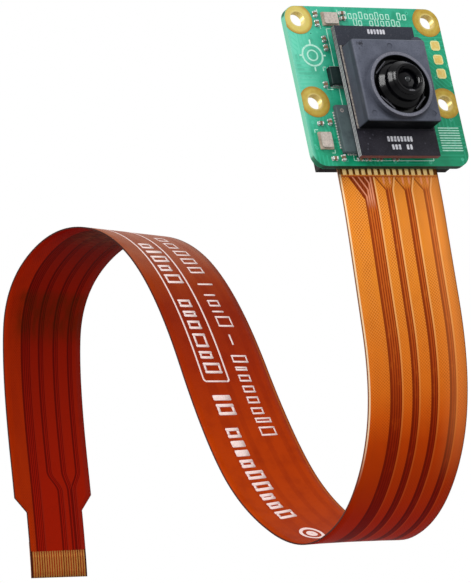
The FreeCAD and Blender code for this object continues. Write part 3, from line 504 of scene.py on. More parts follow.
inkPieces = []
for row in filmPrint["rows"]:
    for i, (start, end) in enumerate(row["blocks"]):
        inkPieces += inkBlock(row["left"], row["tallRight" if i in row["tall"] else "right"], start, end, row["stroke"])
inkPieces += [inkStrip(*bar) for bar in filmPrint["bars"]]
left, right, start, end = filmPrint["frame"]
stroke, corner = filmPrint["stroke"], filmPrint["corner"]
inkPieces += [inkStrip(left, left + stroke, start + corner, end - corner),
              inkStrip(right - stroke, right, start + corner, end - corner),
              inkStrip(left + corner, right - corner, start, start + stroke),
              inkStrip(left + corner, right - corner, end - stroke, end)]
left, right, start, end = left + corner, right - corner, start + corner, end - corner
for across, distance, turn in ((left, start, 180), (right, start, 270), (right, end, 0), (left, end, 90)):
    inkPieces.append(inkCorner(across, distance, turn, corner, stroke))
across, distance, reach, wide = filmPrint["ring"]
for turn in (0, 90, 180, 270):
    inkPieces.append(inkCorner(across, distance, turn, reach, wide))
    inkPieces.append(inkCorner(across, distance, turn, reach * 0.45, reach * 0.4))
filmInk = joined("filmPrint", inkPieces)
print("film print made")


# Film finishes
def filmPlace(finish):
    spot = finish.node("ShaderNodeUVMap", {"uv_map": "filmMap"})
    u, v = spot.split()[:2]
    return u * filmMap["wide"], v * filmMap["long"]


# Grooves in the copper: middle, half width, and how far each steps aside above the neck
grooves = [(4.48, 0.9, 0.0), (7.62, 0.5, 1.9), (10.68, 0.5, 0.9), (13.68, 0.48, -1.35)]
# colours along the film's length, from the board end: partly the film's own colour and partly painted light, bright
# orange near the board where it is lit and darker red further along
filmLook = {
    "pour": [(0.0, (236, 142, 44)), (0.1, (234, 138, 42)), (0.155, (226, 120, 32)), (0.18, (220, 110, 26)),
             (0.2, (206, 86, 13)), (0.22, (182, 60, 4)), (0.25, (164, 46, 2)), (0.285, (152, 28, 2)),
             (0.34, (146, 20, 2)), (0.66, (112, 4, 2)), (0.71, (134, 12, 3)), (0.755, (160, 30, 3)),
             (0.8, (162, 38, 3)), (0.86, (162, 40, 3)), (0.9, (166, 44, 3)), (1.0, (168, 46, 5))],
    "groove": [(0.0, (206, 104, 38)), (0.12, (196, 92, 30)), (0.165, (176, 70, 20)), (0.2, (150, 46, 8)),
               (0.22, (134, 30, 4)), (0.25, (120, 20, 3)), (0.285, (112, 12, 3)), (0.34, (104, 10, 3)),
               (0.66, (84, 5, 2)), (0.71, (98, 8, 2)), (0.755, (122, 16, 3)), (0.8, (124, 15, 3)), (0.86, (136, 19, 4)),
               (0.94, (150, 20, 4)), (1.0, (154, 22, 5))],
    "line": [(0.0, (132, 46, 20)), (0.16, (122, 38, 14)), (0.21, (104, 20, 5)), (0.285, (84, 5, 2)), (0.66, (72, 3, 2)),
             (1.0, (92, 8, 3))],
    "rim": [(0.0, (250, 196, 132)), (0.13, (244, 176, 104)), (0.18, (226, 134, 60)), (0.22, (184, 84, 26)),
            (0.28, (156, 44, 14)), (0.66, (116, 18, 10)), (0.8, (126, 24, 12)), (1.0, (134, 32, 20))],
    "hatch": [(0.0, (178, 86, 18)), (0.16, (172, 78, 14)), (0.22, (136, 40, 4)), (0.3, (114, 14, 2)),
              (0.66, (90, 4, 2)), (1.0, (126, 28, 4))],
    "hatchSpacing": 0.46,
    "laneSpacing": 0.38,
}


def copperFinish():
    finish = Finish("filmCopperSide", {"Metallic": 0.14, "Specular IOR Level": 0.01})
    across, distance = filmPlace(finish)
    grain = finish.join(across, distance, 0.0)
    share = distance / filmMap["long"]
    jog = distance.rise(183.6, 186.8)
    # at the top the first groove fans out to four strands, and the others start as a V
    fanWide = (9.9 - distance).most(0.0) * 0.62
    vee = (8.5 - distance).most(0.0)
    begins = distance.rise(6.35, 6.5)
    opened = distance.rise(7.7, 8.5)
    grooveMask, rimHighlight, lineMask, laneMask = 0.0, 0.0, 0.0, 0.0
    for i, (middle, half, shift) in enumerate(grooves):
        local = across - middle - jog * shift if shift else across - middle
        low = 0 - fanWide - half if i == 0 else 0 - vee * 0.72 - half
        high = half if i == 0 else vee * 0.3 + half
        inside = (local - low).rise(-0.04, 0.04) * (high - local).rise(-0.04, 0.04)
        grooveMask = inside * (begins if i == 0 else opened * 0.75 + begins * 0.25) + grooveMask
        # a painted highlight along the right edge of each groove
        rimHighlight = (local - high - 0.14).size().fall(0.07, 0.17) * begins + rimHighlight
        lineMask = (local - low - 0.02).size().fall(0.07, 0.16) * begins + lineMask
        lineMask = (high - local - 0.1).size().fall(0.03, 0.1) * begins * 0.7 + lineMask
        lane = local.wave(filmLook["laneSpacing"])
        laneMask = lane.rise(-0.2, 0.8) * inside + laneMask
    grooveMask = grooveMask.least(1.0)
    # bright strands that run from the fingers into the grooves
    strands = 0.0
    fanZone = begins * distance.fall(9.4, 11.6)
    for start, lane in ((2.05, 3.86), (3.0, 4.22), (3.95, 4.58), (4.85, 4.94)):
        line = ((distance - 6.45) * 0.62 + start).least(lane)
        strands = (across - line).size().fall(0.08, 0.17) * fanZone + strands
    shortZone = begins * distance.fall(7.2, 7.9)
    for middle in (7.0, 8.0, 10.1, 11.1, 13.1, 14.1):
        strands = (across - middle).size().fall(0.08, 0.2) * shortZone + strands
    strands = strands.least(1.0)
    # hatched copper: two crossing sets of slanting lines
    spacing = filmLook["hatchSpacing"]
    slant = (across + distance).wave(spacing)
    other = (across - distance).wave(spacing)
    hatch = (slant + other).rise(0.0, 1.2)
    mesh = (0 - slant - other).rise(0.2, 1.4)
    cloud = grain.noise(0.3, 4.0, 0.6)
    patch = finish.join(across * 1.4, distance * 0.5, 0.0).noise(0.9, 3.0, 0.6)
    speck = grain.noise(7.0, 2.0, 0.5)
    pour, floor, lineTone, rimTone, hatchTone = [share.ramp(filmLook[name])
                                                 for name in ("pour", "groove", "line", "rim", "hatch")]
    far = distance.rise(128.0, 142.0) * across.rise(3.45, 3.75)
    pour = pour.mix(floor, far * 0.85)
    worn = finish.join(across * 0.7, distance * 0.16, 0.0).noise(1.0, 2.0, 0.5).rise(0.36, 0.62)
    hatchLevel = (worn * 0.45 + 0.3) * (1 - distance.rise(10.0, 22.0) * 0.25)
    pour = pour.mix(rimTone, mesh * hatchLevel * 0.5 * (1 - far))
    pour = pour.mix(hatchTone, hatch * hatchLevel * (1 - far))
    pour = pour.mix(rimTone, speck.rise(0.6, 0.75) * 0.35 * (1 - far))
    pour = pour.mix(hatchTone, cloud.rise(0.5, 0.8) * 0.2)
    floor = floor.mix(lineTone, laneMask.least(1.0) * 0.85)
    floor = floor.mix(pour, patch.rise(0.5, 0.8) * 0.3)
    colour = pour.mix(floor, grooveMask)
    colour = colour.mix(lineTone, lineMask.least(1.0) * 0.85)
    # the painted highlight on the right edge of each groove
    colour = colour.mix(rimTone, rimHighlight.least(1.0) * (1 - far * (0.7 - jog * 0.4)) * 0.8)
    colour = colour.mix((122, 42, 18), fanZone * grooveMask * across.fall(5.0, 5.6) * 0.75)
    colour = colour.mix((238, 156, 118), strands * 0.85)
    # a thin red line under the row of fingers
    colour = colour.mix((176, 74, 38), distance.span(6.42, 6.62, 0.05) * 0.8)
    # lighter towards the right near the board, a painted highlight along the left border there, and a dark outline
    # elsewhere
    near = distance.fall(40.0, 52.0)
    colour = colour.mix((246, 152, 80), across.rise(11.0, 15.5) * near * 0.3)
    leftHighlight = across.span(0.08, 0.34, 0.05) * near
    colour = colour.mix((255, 226, 184), leftHighlight * 0.85)
    # how far the border has come in at the neck
    slope = (cable["width"] - cable["narrowWidth"]) / 2 / (cable["neckEnd"] - cable["neckStart"])
    neck = (distance.most(cable["neckStart"]).least(cable["neckEnd"]) - cable["neckStart"]) * slope
    outline = (across - neck).fall(0.04, 0.14).most((across + neck).rise(15.82, 15.94))
    colour = colour.mix((74, 34, 22), outline * 0.75)
    # the free end has a dark border round its fingers
    tipZone = distance.rise(cableLength - 4.3, cableLength - 4.1)
    tip = (across - neck).fall(0.28, 0.36).most((across + neck).rise(15.64, 15.72))
    tip = tip.most(distance.rise(cableLength - 0.3, cableLength - 0.22))
    colour = colour.mix((52, 22, 14), tip * tipZone * 0.9)
    # shade where the film tucks under the board, and behind the hump
    under = distance.fall(6.1, 6.4)
    colour = colour.mix((70, 34, 14), under * 0.85)
    shade = distance.span(137.0, 152.0, 5.0) * across.rise(4.0, 15.0)
    colour = colour.mix((70, 12, 4), shade * 0.3)
    # the inside of the hump: a brown band of painted shade, and at its crown painted dark shade with pale streaks of
    # painted highlight
    band = distance.rise(154.6, 156.4) * distance.fall(160.5, 165.0) * across.rise(1.0, 3.5)
    mottle = finish.join(across * 1.2, distance * 0.35, 0.0).noise(1.0, 4.0, 0.6).rise(0.35, 0.65)
    colour = colour.mix((52, 27, 3), band * (mottle * 0.28 + 0.22))
    crown = distance.span(131.0, 144.0, 3.0) * across.rise(2.0, 6.0)
    streak = finish.join(across * 0.5, distance * 5.0, 0.0).noise(1.0, 3.0, 0.6).rise(0.42, 0.66)
    colour = colour.mix(finish.mix((44, 14, 4), (124, 70, 38), streak), crown * 0.5)
    rough = 0.4 + speck * 0.16
    height = (1 - grooveMask) - laneMask.least(1.0) * 0.3 - hatch * 0.12 + strands * 0.8 + speck * 0.06
    return finish.wear(colour, rough, finish.bump(height, 0.35, 0.03))


def filmBackFinish():
    finish = Finish("filmPrintSide", {"Metallic": 0.12, "Specular IOR Level": 0.02})
    across, distance = filmPlace(finish)
    grain = finish.join(across, distance, 0.0)
    share = distance / filmMap["long"]
    cloud = grain.noise(0.3, 4.0, 0.6)
    speck = grain.noise(5.0, 2.0, 0.5)
    # colours along the film's length: partly its own colour and partly painted light; the pale stops at 0.63 and 0.66
    # are a painted sheen where the film turns over the hump
    stops = [(0.0, (172, 74, 20)), (0.3, (150, 46, 8)), (0.35, (160, 52, 6)), (0.39, (175, 60, 3)),
             (0.46, (174, 56, 3)), (0.52, (154, 42, 5)), (0.57, (138, 38, 9)), (0.6, (148, 54, 16)),
             (0.63, (154, 84, 58)), (0.66, (158, 96, 72)), (0.72, (150, 70, 40)), (1.0, (156, 58, 12))]
    base = share.ramp(stops)
    base = base.mix((116, 20, 3), cloud.rise(0.4, 0.8) * 0.35)
    # the copper's grooves show faintly through the base film
    ghost = 0.0
    for middle, half, shift in grooves:
        ghost = across.span(middle - half, middle + half, 0.15) + ghost
    base = base.mix((122, 24, 3), ghost.least(1.0) * 0.2)
    rightRim = across.span(15.5, 15.84, 0.05)
    base = base.mix((196, 104, 34), rightRim * 0.6 * distance.fall(100, 118))
    outline = across.fall(0.06, 0.2).most(across.rise(15.86, 15.96))
    base = base.mix((70, 20, 8), outline * 0.7)
    return finish.wear(base, 0.38 + speck * 0.14, finish.bump(ghost * 0.3 + speck * 0.06, 0.2, 0.03))


def filmEdgeFinish():
    finish = Finish("filmCutEdge", {"Specular IOR Level": 0.05})
    across, distance = filmPlace(finish)
    speck = finish.join(across, distance, 0.0).noise(3.0, 3.0, 0.5)
    share = distance / filmMap["long"]
    # painted light: the cut edge is lighter near the board, where light falls on it, and dark further along
    stops = [(0.0, (150, 110, 80)), (0.25, (96, 44, 22)), (0.3, (60, 16, 8)), (1.0, (44, 14, 8))]
    colour = share.ramp(stops).mix((40, 16, 8), speck * 0.5)
    return finish.wear(colour, 0.5 + speck * 0.2, finish.bump(speck, 0.2, 0.02))


def inkFinish():
    finish = Finish("whitePrint", {"Specular IOR Level": 0.3})
    spot = finish.place()
    grain = spot.noise(3.5, 4.0, 0.7)
    fine = spot.noise(14.0, 2.0, 0.5)
    colour = finish.mix((246, 226, 222), (224, 184, 180), grain.rise(0.4, 0.75) * 0.6)
    return finish.wear(colour, 0.55 + fine * 0.2, finish.bump(fine, 0.15, 0.01))


def fingerFinish(name, light, dark):
    finish = Finish(name, {"Metallic": 0.6, "Specular IOR Level": 0.2})
    x, y, z = finish.places()[1:]
    grain = finish.join(x * 3.0, y * 0.8, z * 0.8).noise(2.0, 4.0, 0.6)
    scratch = finish.join(x * 14.0, y, z * 0.6).noise(1.0, 2.0, 0.5)
    colour = finish.mix(light, dark, grain.rise(0.35, 0.75) * 0.6)
    return finish.wear(colour, 0.3 + grain * 0.2, finish.bump(scratch, 0.15, 0.01))


def backingFinish():
    finish = Finish("backingFilm", {"Specular IOR Level": 0.25, "Coat Weight": 0.2, "Coat Roughness": 0.3})
    across, distance = filmPlace(finish)
    grain = finish.join(across, distance, 0.0).noise(1.2, 5.0, 0.6)
    weave = across.wave(2 * math.pi / 14) * distance.wave(2 * math.pi / 14)
    colour = finish.mix((176, 104, 36), (128, 62, 18), grain.rise(0.3, 0.75) * 0.8)
    colour = colour.mix((196, 130, 60), weave.rise(0.0, 0.9) * 0.2)
    return finish.wear(colour, 0.42 + grain * 0.15, finish.bump(weave * 0.3 + grain, 0.15, 0.02))


for finish in (copperFinish(), filmBackFinish(), filmEdgeFinish()):
    film.data.materials.append(finish.material)
backingAmber = backingFinish()
cover(fingerFinish("fingerGold", (240, 208, 142), (222, 174, 100)), wideFingers)
cover(fingerFinish("endGold", (176, 118, 50), (146, 88, 30)), narrowFingers)
cover(backingAmber, wideStiffener, narrowStiffener)
cover(inkFinish(), filmInk)
for piece in (film, wideFingers, narrowFingers, wideStiffener, narrowStiffener, filmInk):
    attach(piece, "board")
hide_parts("flex_cable")
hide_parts("cable_wide_fingers")
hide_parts("cable_narrow_fingers")
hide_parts("wide_stiffener")
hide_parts("narrow_stiffener")
print("cable finished")


# Places that several finishes use: the lens axis and the holes
lensZ = -6.15
holeX, holeZ = 10.5, 6.25


# Board finish: solder mask over traces and vias, laminate at the cut edge
def boardFinish():
    finish = Finish("greenBoard", {"Specular IOR Level": 0.2})
    spot, x, y, z = finish.places()
    flat = finish.join(x, 0.0, z)
    side = y.span(0.04, 0.96, 0.02)
    patch = flat.cells(0.22, {"distance": "CHEBYCHEV"}, "Color")
    first, second, third = finish.node("ShaderNodeSeparateColor", None, {0: patch}, (0, 1, 2))
    turn = first > 0.5
    run = x * turn + z * (1 - turn)
    lines = run.wave(0.62)
    slantRun = (x + z).wave(0.8)
    lines = lines * (third < 0.72) + slantRun * (third > 0.72)
    traces = lines.rise(0.35, 0.6) * (second > 0.42)
    dots = flat.cells(0.62)
    vias = dots.fall(0.14, 0.2)
    holes = dots.fall(0.05, 0.09)
    cloud = flat.noise(0.4, 4.0, 0.6)
    speck = spot.noise(9.0, 2.0, 0.5)
    cloudy = cloud.rise(0.35, 0.8) * 0.6
    low = finish.mix((4, 150, 106), (0, 138, 96), cloudy)
    high = finish.mix((62, 182, 150), (28, 162, 126), cloudy)
    # painted light: the mask is lighter towards the top left, most of all in its upper left part
    green = low.mix(high, (z - x * 0.8).rise(-16.0, 14.0))
    green = green.mix((132, 234, 204), x.fall(-12.5, -6.5) * z.rise(-13.0, -2.0) * 0.6)
    green = green.mix((56, 190, 152), traces * 0.3)
    green = green.mix((6, 122, 86), (1 - traces) * cloud.rise(0.45, 0.6) * 0.3)
    green = green.mix((90, 206, 172), vias * 0.5)
    green = green.mix((0, 84, 60), holes * 0.8)
    # painted light along the left border of the mask
    green = green.mix((120, 205, 180), x.fall(-12.45, -11.9) * 0.6)
    layers = y.wave(0.22)
    fibre = finish.join(x * 2.0, y * 12.0, z * 2.0).noise(2.0, 4.0, 0.6)
    edge = finish.mix((6, 96, 66), (4, 58, 42), layers.rise(-0.2, 0.8) * 0.5)
    edge = edge.mix((60, 130, 96), fibre.rise(0.5, 0.75) * 0.3)
    # painted light on the left cut edge, and painted shade on the bottom cut edge
    edge = edge.mix((110, 190, 160), x.fall(-12.49, -12.4) * 0.7)
    edge = edge.mix((8, 34, 26), z.fall(-15.74, -15.6) * 0.9)
    colour = green.mix(edge, side)
    height = traces + vias * 0.8 - holes + speck * 0.15
    normal = finish.bump(height, 0.25, 0.02, finish.soften(0.06))
    return finish.wear(colour, 0.34 + speck * 0.12 + side * 0.2, normal)


def goldFinish(name, rim):
    finish = Finish(name, {"Metallic": 0.25, "Specular IOR Level": 0.08})
    spot, x, y, z = finish.places()
    grain = spot.noise(1.2, 4.0, 0.6)
    fine = spot.noise(12.0, 2.0, 0.5)
    if rim:
        # tarnish on the outer border of each ring
        colour = finish.mix((190, 164, 74), (174, 142, 56), grain.rise(0.35, 0.75))
        # painted light: paler towards the top left
        colour = colour.mix((226, 212, 124), (z - x).rise(0.0, 16.0) * 0.6)
        reach = (x.size() - holeX).away(z.size() - holeZ)
        colour = colour.mix((164, 122, 44), reach.rise(1.7, 2.28) * 0.75)
        colour = colour.mix((226, 210, 146), reach.fall(1.12, 1.45) * 0.45)
    else:
        # each pad is palest at its border
        rows = (z + 1.7).size().least((z - 0.45).size()).least((z - 2.6).size())
        border = (x - 11).size().most(rows)
        colour = finish.mix((214, 184, 102), (228, 228, 170), border.rise(0.5, 0.74))
        smear = spot.noise(2.2, 3.0, 0.6).rise(0.46, 0.6)
        colour = colour.mix((214, 202, 134), smear * 0.7)
    return finish.wear(colour, 0.3 + grain * 0.15, finish.bump(fine + grain, 0.12, 0.02))


def sensorBoardFinish():
    finish = Finish("sensorBoardBlack", {"Specular IOR Level": 0.12})
    spot, x, y, z = finish.places()
    flat = finish.join(x, 0.0, z)
    side = y.span(-2.07, -1.23, 0.02)
    cloud = flat.noise(0.5, 4.0, 0.6)
    fine = spot.noise(8.0, 3.0, 0.6)
    base = finish.mix((30, 28, 36), (40, 38, 46), cloud.rise(0.35, 0.7))
    base = base.mix(finish.mix((52, 56, 66), (66, 72, 82), fine.rise(0.5, 0.7)), z.rise(-12.0, 4.0) * 0.8)
    base = base.mix((84, 86, 96), fine.rise(0.58, 0.72) * 0.55)
    layers = y.wave(0.3)
    edge = finish.mix((86, 84, 88), (226, 232, 230), layers.rise(0.2, 0.9) * 0.85)
    edge = edge.mix((58, 44, 44), z.rise(-2.0, 3.0) * 0.5)
    edge = edge.mix((104, 50, 46), z.fall(-15.08, -15.04) * 0.9)
    vias = flat.cells(0.9).fall(0.1, 0.16)
    base = base.mix((78, 78, 88), vias * 0.5)
    normal = finish.bump(fine * 0.3 + vias * 0.5, 0.2, 0.02, finish.soften(0.05))
    return finish.wear(base.mix(edge, side), 0.42 + fine * 0.15, normal)


def mouldedFinish(name, light, dark, rough, gloss=0.3):
    finish = Finish(name, {"Specular IOR Level": gloss})
    spot = finish.place()
    cloud = spot.noise(0.6, 4.0, 0.6)
    grain = spot.noise(7.0, 4.0, 0.65)
    pits = spot.cells(4.2)
    colour = finish.mix(light, dark, cloud.rise(0.35, 0.75))
    colour = colour.mix(dark, grain.rise(0.55, 0.8) * 0.5)
    height = grain - pits.fall(0.05, 0.3) * 0.3
    normal = finish.bump(height, 0.22, 0.02, finish.soften(0.08))
    return finish.wear(colour, rough + grain * 0.14, normal)


def holderFinish():
    finish = Finish("holderPlastic", {"Specular IOR Level": 0.12})
    spot, x, y, z = finish.places()
    cloud = spot.noise(0.5, 4.0, 0.6)
    grain = spot.noise(6.0, 4.0, 0.7)
    colour = finish.mix((88, 92, 105), (100, 104, 118), cloud.rise(0.35, 0.7))
    colour = colour.mix((66, 68, 80), grain.rise(0.48, 0.7) * 0.6)
    colour = colour.mix((74, 77, 88), (x * -1.0).rise(1.0, 6.0) * z.fall(-9.0, -2.0) * 0.3)
    # the lower wall lies in shade, and so does the well round the lens
    wall = y.rise(-4.95, -4.75)
    colour = colour.mix((56, 60, 68), wall * 0.6)
    colour = colour.mix((44, 48, 56), y.span(-4.9, -4.0, 0.15) * 0.5)
    colour = colour.mix((1, 2, 4), wall * z.fall(-11.1, -10.9))
    reach = x.away(z - lensZ)
    # painted shade round the foot of the collar and on its outer wall, most of it low down, and the well inside it
    # painted near black
    low = (z - x * 0.5).fall(-10.0, -4.5)
    foot = reach.rise(4.7, 4.86) * reach.fall(4.95, 5.5) * y.fall(-4.95, -4.8)
    collarWall = reach.span(4.8, 4.92, 0.03) * y.fall(-5.2, -5.1)
    colour = colour.mix((36, 38, 46), foot * (low * 0.55 + 0.12))
    colour = colour.mix((30, 32, 40), collarWall * (low * 0.36 + 0.2))
    colour = colour.mix((3, 4, 6), reach.fall(4.32, 4.42) * 0.98)
    # a painted highlight on the collar's front rim
    rim = reach.rise(4.36, 4.46) * reach.fall(4.8, 4.9) * y.fall(-6.16, -6.05)
    colour = colour.mix(finish.mix((112, 112, 124), (146, 148, 158), grain.rise(0.45, 0.65)), rim * 0.85)
    smudge = spot.noise(1.6, 3.0, 0.7)
    spotMask = (x + 4.6).away(z - 0.2).fall(0.2, 1.0) * smudge.rise(0.48, 0.6)
    colour = colour.mix((30, 30, 36), spotMask * 0.8)
    # a painted highlight along the front edges, most of all on the left
    edgeHighlight = y.span(-5.2, -4.93, 0.04) * x.fall(-5.76, -5.62)
    colour = colour.mix((150, 156, 168), edgeHighlight * (grain.rise(0.3, 0.6) * 0.4 + 0.45))
    normal = finish.bump(grain, 0.28, 0.03, finish.soften(0.09))
    return finish.wear(colour, 0.46 + grain * 0.14, normal)


def barrelFinish():
    finish = Finish("barrelBlack", {"Specular IOR Level": 0.13})
    spot, x, y, z = finish.places()
    grain = spot.noise(9.0, 3.0, 0.6)
    reach = x.away(z - lensZ)
    rings = (reach + y).wave(2 * math.pi / 55)
    colour = finish.mix((4, 4, 6), (9, 9, 11), grain.rise(0.4, 0.75))
    slant = (x.size() + (z - lensZ).size()) * 0.7071
    lugs = y.span(-5.8, -5.7, 0.02) * slant.span(3.44, 3.76, 0.02)
    colour = colour.mix((104, 104, 112), lugs * 0.85)
    # a paler ring round the mouth
    rim = reach.span(2.24, 2.5, 0.03) * y.fall(-8.22, -8.1)
    colour = colour.mix((88, 88, 94), rim * 0.8)
    # a painted reflection: a pale arc low in the mouth
    mouthReflection = reach.span(1.6, 2.0, 0.06) * (lensZ - z - x.size() * 1.6).rise(0.9, 1.4) * y.fall(-7.9, -7.8)
    colour = colour.mix((140, 140, 146), mouthReflection * grain.rise(0.3, 0.7) * 0.7)
    normal = finish.bump(rings * 0.25 + grain * 0.4, 0.08, 0.01, finish.soften(0.2))
    return finish.wear(colour, 0.13 + grain * 0.08, normal)


def glassFinish(name, centre, rim, gloss=0.12, rough=0.03):
    finish = Finish(name, {"Specular IOR Level": gloss})
    spot, x, y, z = finish.places()
    reach = x.away(z - lensZ)
    film = spot.noise(0.5, 2.0, 0.5)
    colour = finish.mix(centre, rim, reach.rise(0.3, 1.5))
    colour = colour.mix((14, 12, 22), film.rise(0.45, 0.7) * 0.4)
    return finish.wear(colour, rough + film * 0.03, finish.bump(film, 0.02, 0.01))


def metalFinish(name, light, dark, rough, metal=0.9, scale=3.0):
    finish = Finish(name, {"Metallic": metal})
    spot = finish.place()
    cloud = spot.noise(scale, 4.0, 0.6)
    fine = spot.noise(scale * 6, 3.0, 0.6)
    colour = finish.mix(light, dark, cloud.rise(0.35, 0.7))
    normal = finish.bump(fine * 0.4 + cloud, 0.2, 0.02, finish.soften(0.04))
    return finish.wear(colour, rough + fine * 0.15, normal)


barrelBlack = barrelFinish()
beadGlass = glassFinish("beadGlass", (16, 22, 26), (30, 38, 40), 0.6, 0.16)
connectorIvory = mouldedFinish("connectorIvory", (226, 218, 198), (206, 196, 172), 0.48, 0.4)
dress(barrelBlack, "lens_barrel")
dress(connectorIvory, "connector_housing")
dress(boardFinish(), "circuit_board")
dress(goldFinish("ringGold", True), "plated_holes")
dress(goldFinish("padGold", False), "test_pads")
dress(sensorBoardFinish(), "sensor_board")
dress(holderFinish(), "lens_holder")
dress(glassFinish("lensGlass", (12, 10, 14), (3, 4, 7)), "front_lens")
dress(glassFinish("innerGlass", (40, 30, 44), (16, 20, 26)), "middle_lens", "rear_lens")
dress(glassFinish("filterGlass", (70, 40, 60), (30, 60, 70)), "filter_glass")
dress(metalFinish("sensorSilicon", (60, 62, 80), (40, 70, 70), 0.25, 0.5, 1.0), "image_sensor")
dress(metalFinish("leadTin", (214, 216, 214), (160, 162, 164), 0.28),
      "controller_leads", "memory_leads", "regulator_leads", "inductor_ends",
      "front_capacitor_ends", "back_capacitor_ends", "connector_tabs")
dress(metalFinish("crystalMetal", (196, 184, 174), (164, 154, 146), 0.35, 0.4), "crystal_lids")
dress(metalFinish("contactGold", (232, 190, 104), (196, 150, 70), 0.25), "connector_contacts")
dress(mouldedFinish("ringBlack", (18, 18, 20), (10, 10, 12), 0.5), "lens_spacer", "aperture_stop", "lens_retainer")
dress(mouldedFinish("stackBlack", (38, 36, 40), (26, 25, 28), 0.5), "stack_socket", "stack_plug")
dress(mouldedFinish("chipBlack", (84, 98, 100), (66, 76, 80), 0.5, 0.12),
      "controller_chip", "memory_chip", "regulator_chip")
dress(mouldedFinish("coilBlack", (26, 42, 41), (14, 27, 27), 0.4, 0.2), "power_inductor")
dress(mouldedFinish("crystalCeramic", (190, 172, 156), (150, 132, 118), 0.5), "crystal_bases")
dress(mouldedFinish("capacitorTan", (138, 108, 82), (108, 82, 62), 0.45), "front_capacitors", "back_capacitors")
dress(mouldedFinish("latchDark", (22, 17, 14), (12, 9, 8), 0.5, 0.05), "connector_latch")
print("nodes dressed")


# Modelling helpers: a primitive at its size and place, then edit mode
def boxPiece(name, low, high):
    bpy.ops.object.select_all(action="DESELECT")
    middle = [(a + b) / 2 * mm for a, b in zip(low, high)]
    bpy.ops.mesh.primitive_cube_add(size=1, location=middle, scale=[(b - a) * mm for a, b in zip(low, high)])
    piece = bpy.context.active_object
    piece.name = name
    bpy.ops.object.transform_apply(location=True, rotation=True, scale=True)
    return piece


def pick(piece, kind, test):
    bpy.ops.object.mode_set(mode="EDIT")
    bpy.ops.mesh.select_mode(type=kind)
    bpy.ops.mesh.select_all(action="DESELECT")
    shape = bmesh.from_edit_mesh(piece.data)
    for part in {"VERT": shape.verts, "EDGE": shape.edges, "FACE": shape.faces}[kind]:
        part.select_set(bool(test(part)))
    bmesh.update_edit_mesh(piece.data)


def upright(edge):
    ends = [vertex.co for vertex in edge.verts]
    return abs(ends[0].x - ends[1].x) < 1e-7 and abs(ends[0].z - ends[1].z) < 1e-7


def roundedBox(name, low, high, corner, segments=3, test=upright):
    piece = boxPiece(name, low, high)
    pick(piece, "EDGE", test)
    bpy.ops.mesh.bevel(offset=corner * mm, segments=segments, affect="EDGES")
    bpy.ops.object.mode_set(mode="OBJECT")
    return piece


# How far print and dots are set into the face under them
sunk = 0.002


def block(x, z, wide, tall, front, height, corner):
    low = (x - wide / 2, front - height, z - tall / 2)
    high = (x + wide / 2, front + sunk, z + tall / 2)
    return roundedBox("block", low, high, corner, 2)


def printBlocks(blocks, front, height, corner=0.12):
    # plain printed blocks on a face looking to -Y: middle x, middle z, width, height in mm
    return [block(x, z, wide, tall, front, height, min(corner, wide * 0.4, tall * 0.4)) for x, z, wide, tall in blocks]


def bored(piece, wall):
    # cuts the middle out of both flat faces and joins the two holes
    pick(piece, "FACE", lambda face: abs(face.normal.y) > 0.9)
    bpy.ops.mesh.inset(thickness=wall * mm, depth=0)
    bpy.ops.mesh.bridge_edge_loops()
    bpy.ops.object.mode_set(mode="OBJECT")
    return piece


def hollowBlocks(blocks, front, height, stroke):
    return [bored(block(*spot, front, height, 0.12), stroke) for spot in blocks]


def ringPiece(name, x, z, outer, inner, front, height, sides=40):
    bpy.ops.object.select_all(action="DESELECT")
    bpy.ops.mesh.primitive_cylinder_add(vertices=sides, radius=outer * mm, depth=height * mm,
                                        rotation=(math.pi / 2, 0, 0),
                                        location=(x * mm, (front - height / 2) * mm, z * mm))
    piece = bpy.context.active_object
    piece.name = name
    bpy.ops.object.transform_apply(location=True, rotation=True, scale=True)
    return bored(piece, outer - inner)


def boxOf(name):
    # a node's low and high corners in mm
    return [[value / mm for value in corner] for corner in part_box(name)]


# Pale print on the green board: two rows of blocks, a target mark, a ruled square and part outlines
boardPrint = {
    "ink": 0.015,
    "rows": [{"z": 7.0, "tall": 1.15, "places": [-2.8, -1.95, -1.1, -0.2, 0.7, 1.55, 2.4, 3.25, 4.15, 6.05, 6.9]},
             {"z": 5.95, "tall": 1.1, "places": [-1.3, -0.5, 1.3, 2.2, 3.1, 4.0, 4.9, 5.7]}],
    "blockWide": 0.62,
    "shortShare": 0.78,
    "stroke": 0.15,
    "target": (-9.3, 0.75, 1.7),
    "tick": 0.24,
    "square": (10.1, -11.7, 3.4),
    "outline": (-6.2, 6.6, -14.95, 4.85),
    "line": 0.12,
    "marks": [(-7.85, -1.0, 0.5, 0.12), (-8.05, -1.3, 0.12, 0.6), (-8.05, -4.1, 0.12, 0.5), (-7.6, -4.35, 1.0, 0.12),
              (-7.1, 7.5, 0.12, 0.6), (-7.1, 5.1, 0.12, 0.6), (-3.85, 7.5, 0.12, 0.5), (-3.85, 5.2, 0.12, 0.5),
              (-11.5, -10.6, 0.12, 0.5), (-11.2, -10.4, 0.5, 0.12), (-8.95, -13.6, 0.12, 0.5),
              (-9.2, -13.85, 0.5, 0.12)],
}
ink = []
height = boardPrint["ink"]
for row in boardPrint["rows"]:
    for i, x in enumerate(row["places"]):
        tall = row["tall"] * (1.0 if i % 3 == 0 else boardPrint["shortShare"])
        spot = (x, row["z"] - (row["tall"] - tall) / 2, boardPrint["blockWide"], tall)
        ink += hollowBlocks([spot], 0, height, boardPrint["stroke"])
x, z, reach = boardPrint["target"]
tick = boardPrint["tick"]
ink.append(ringPiece("block", x, z, reach, reach - 0.26, sunk, height + sunk))
ink.append(ringPiece("block", x, z, reach * 0.52, reach * 0.52 - 0.22, sunk, height + sunk))
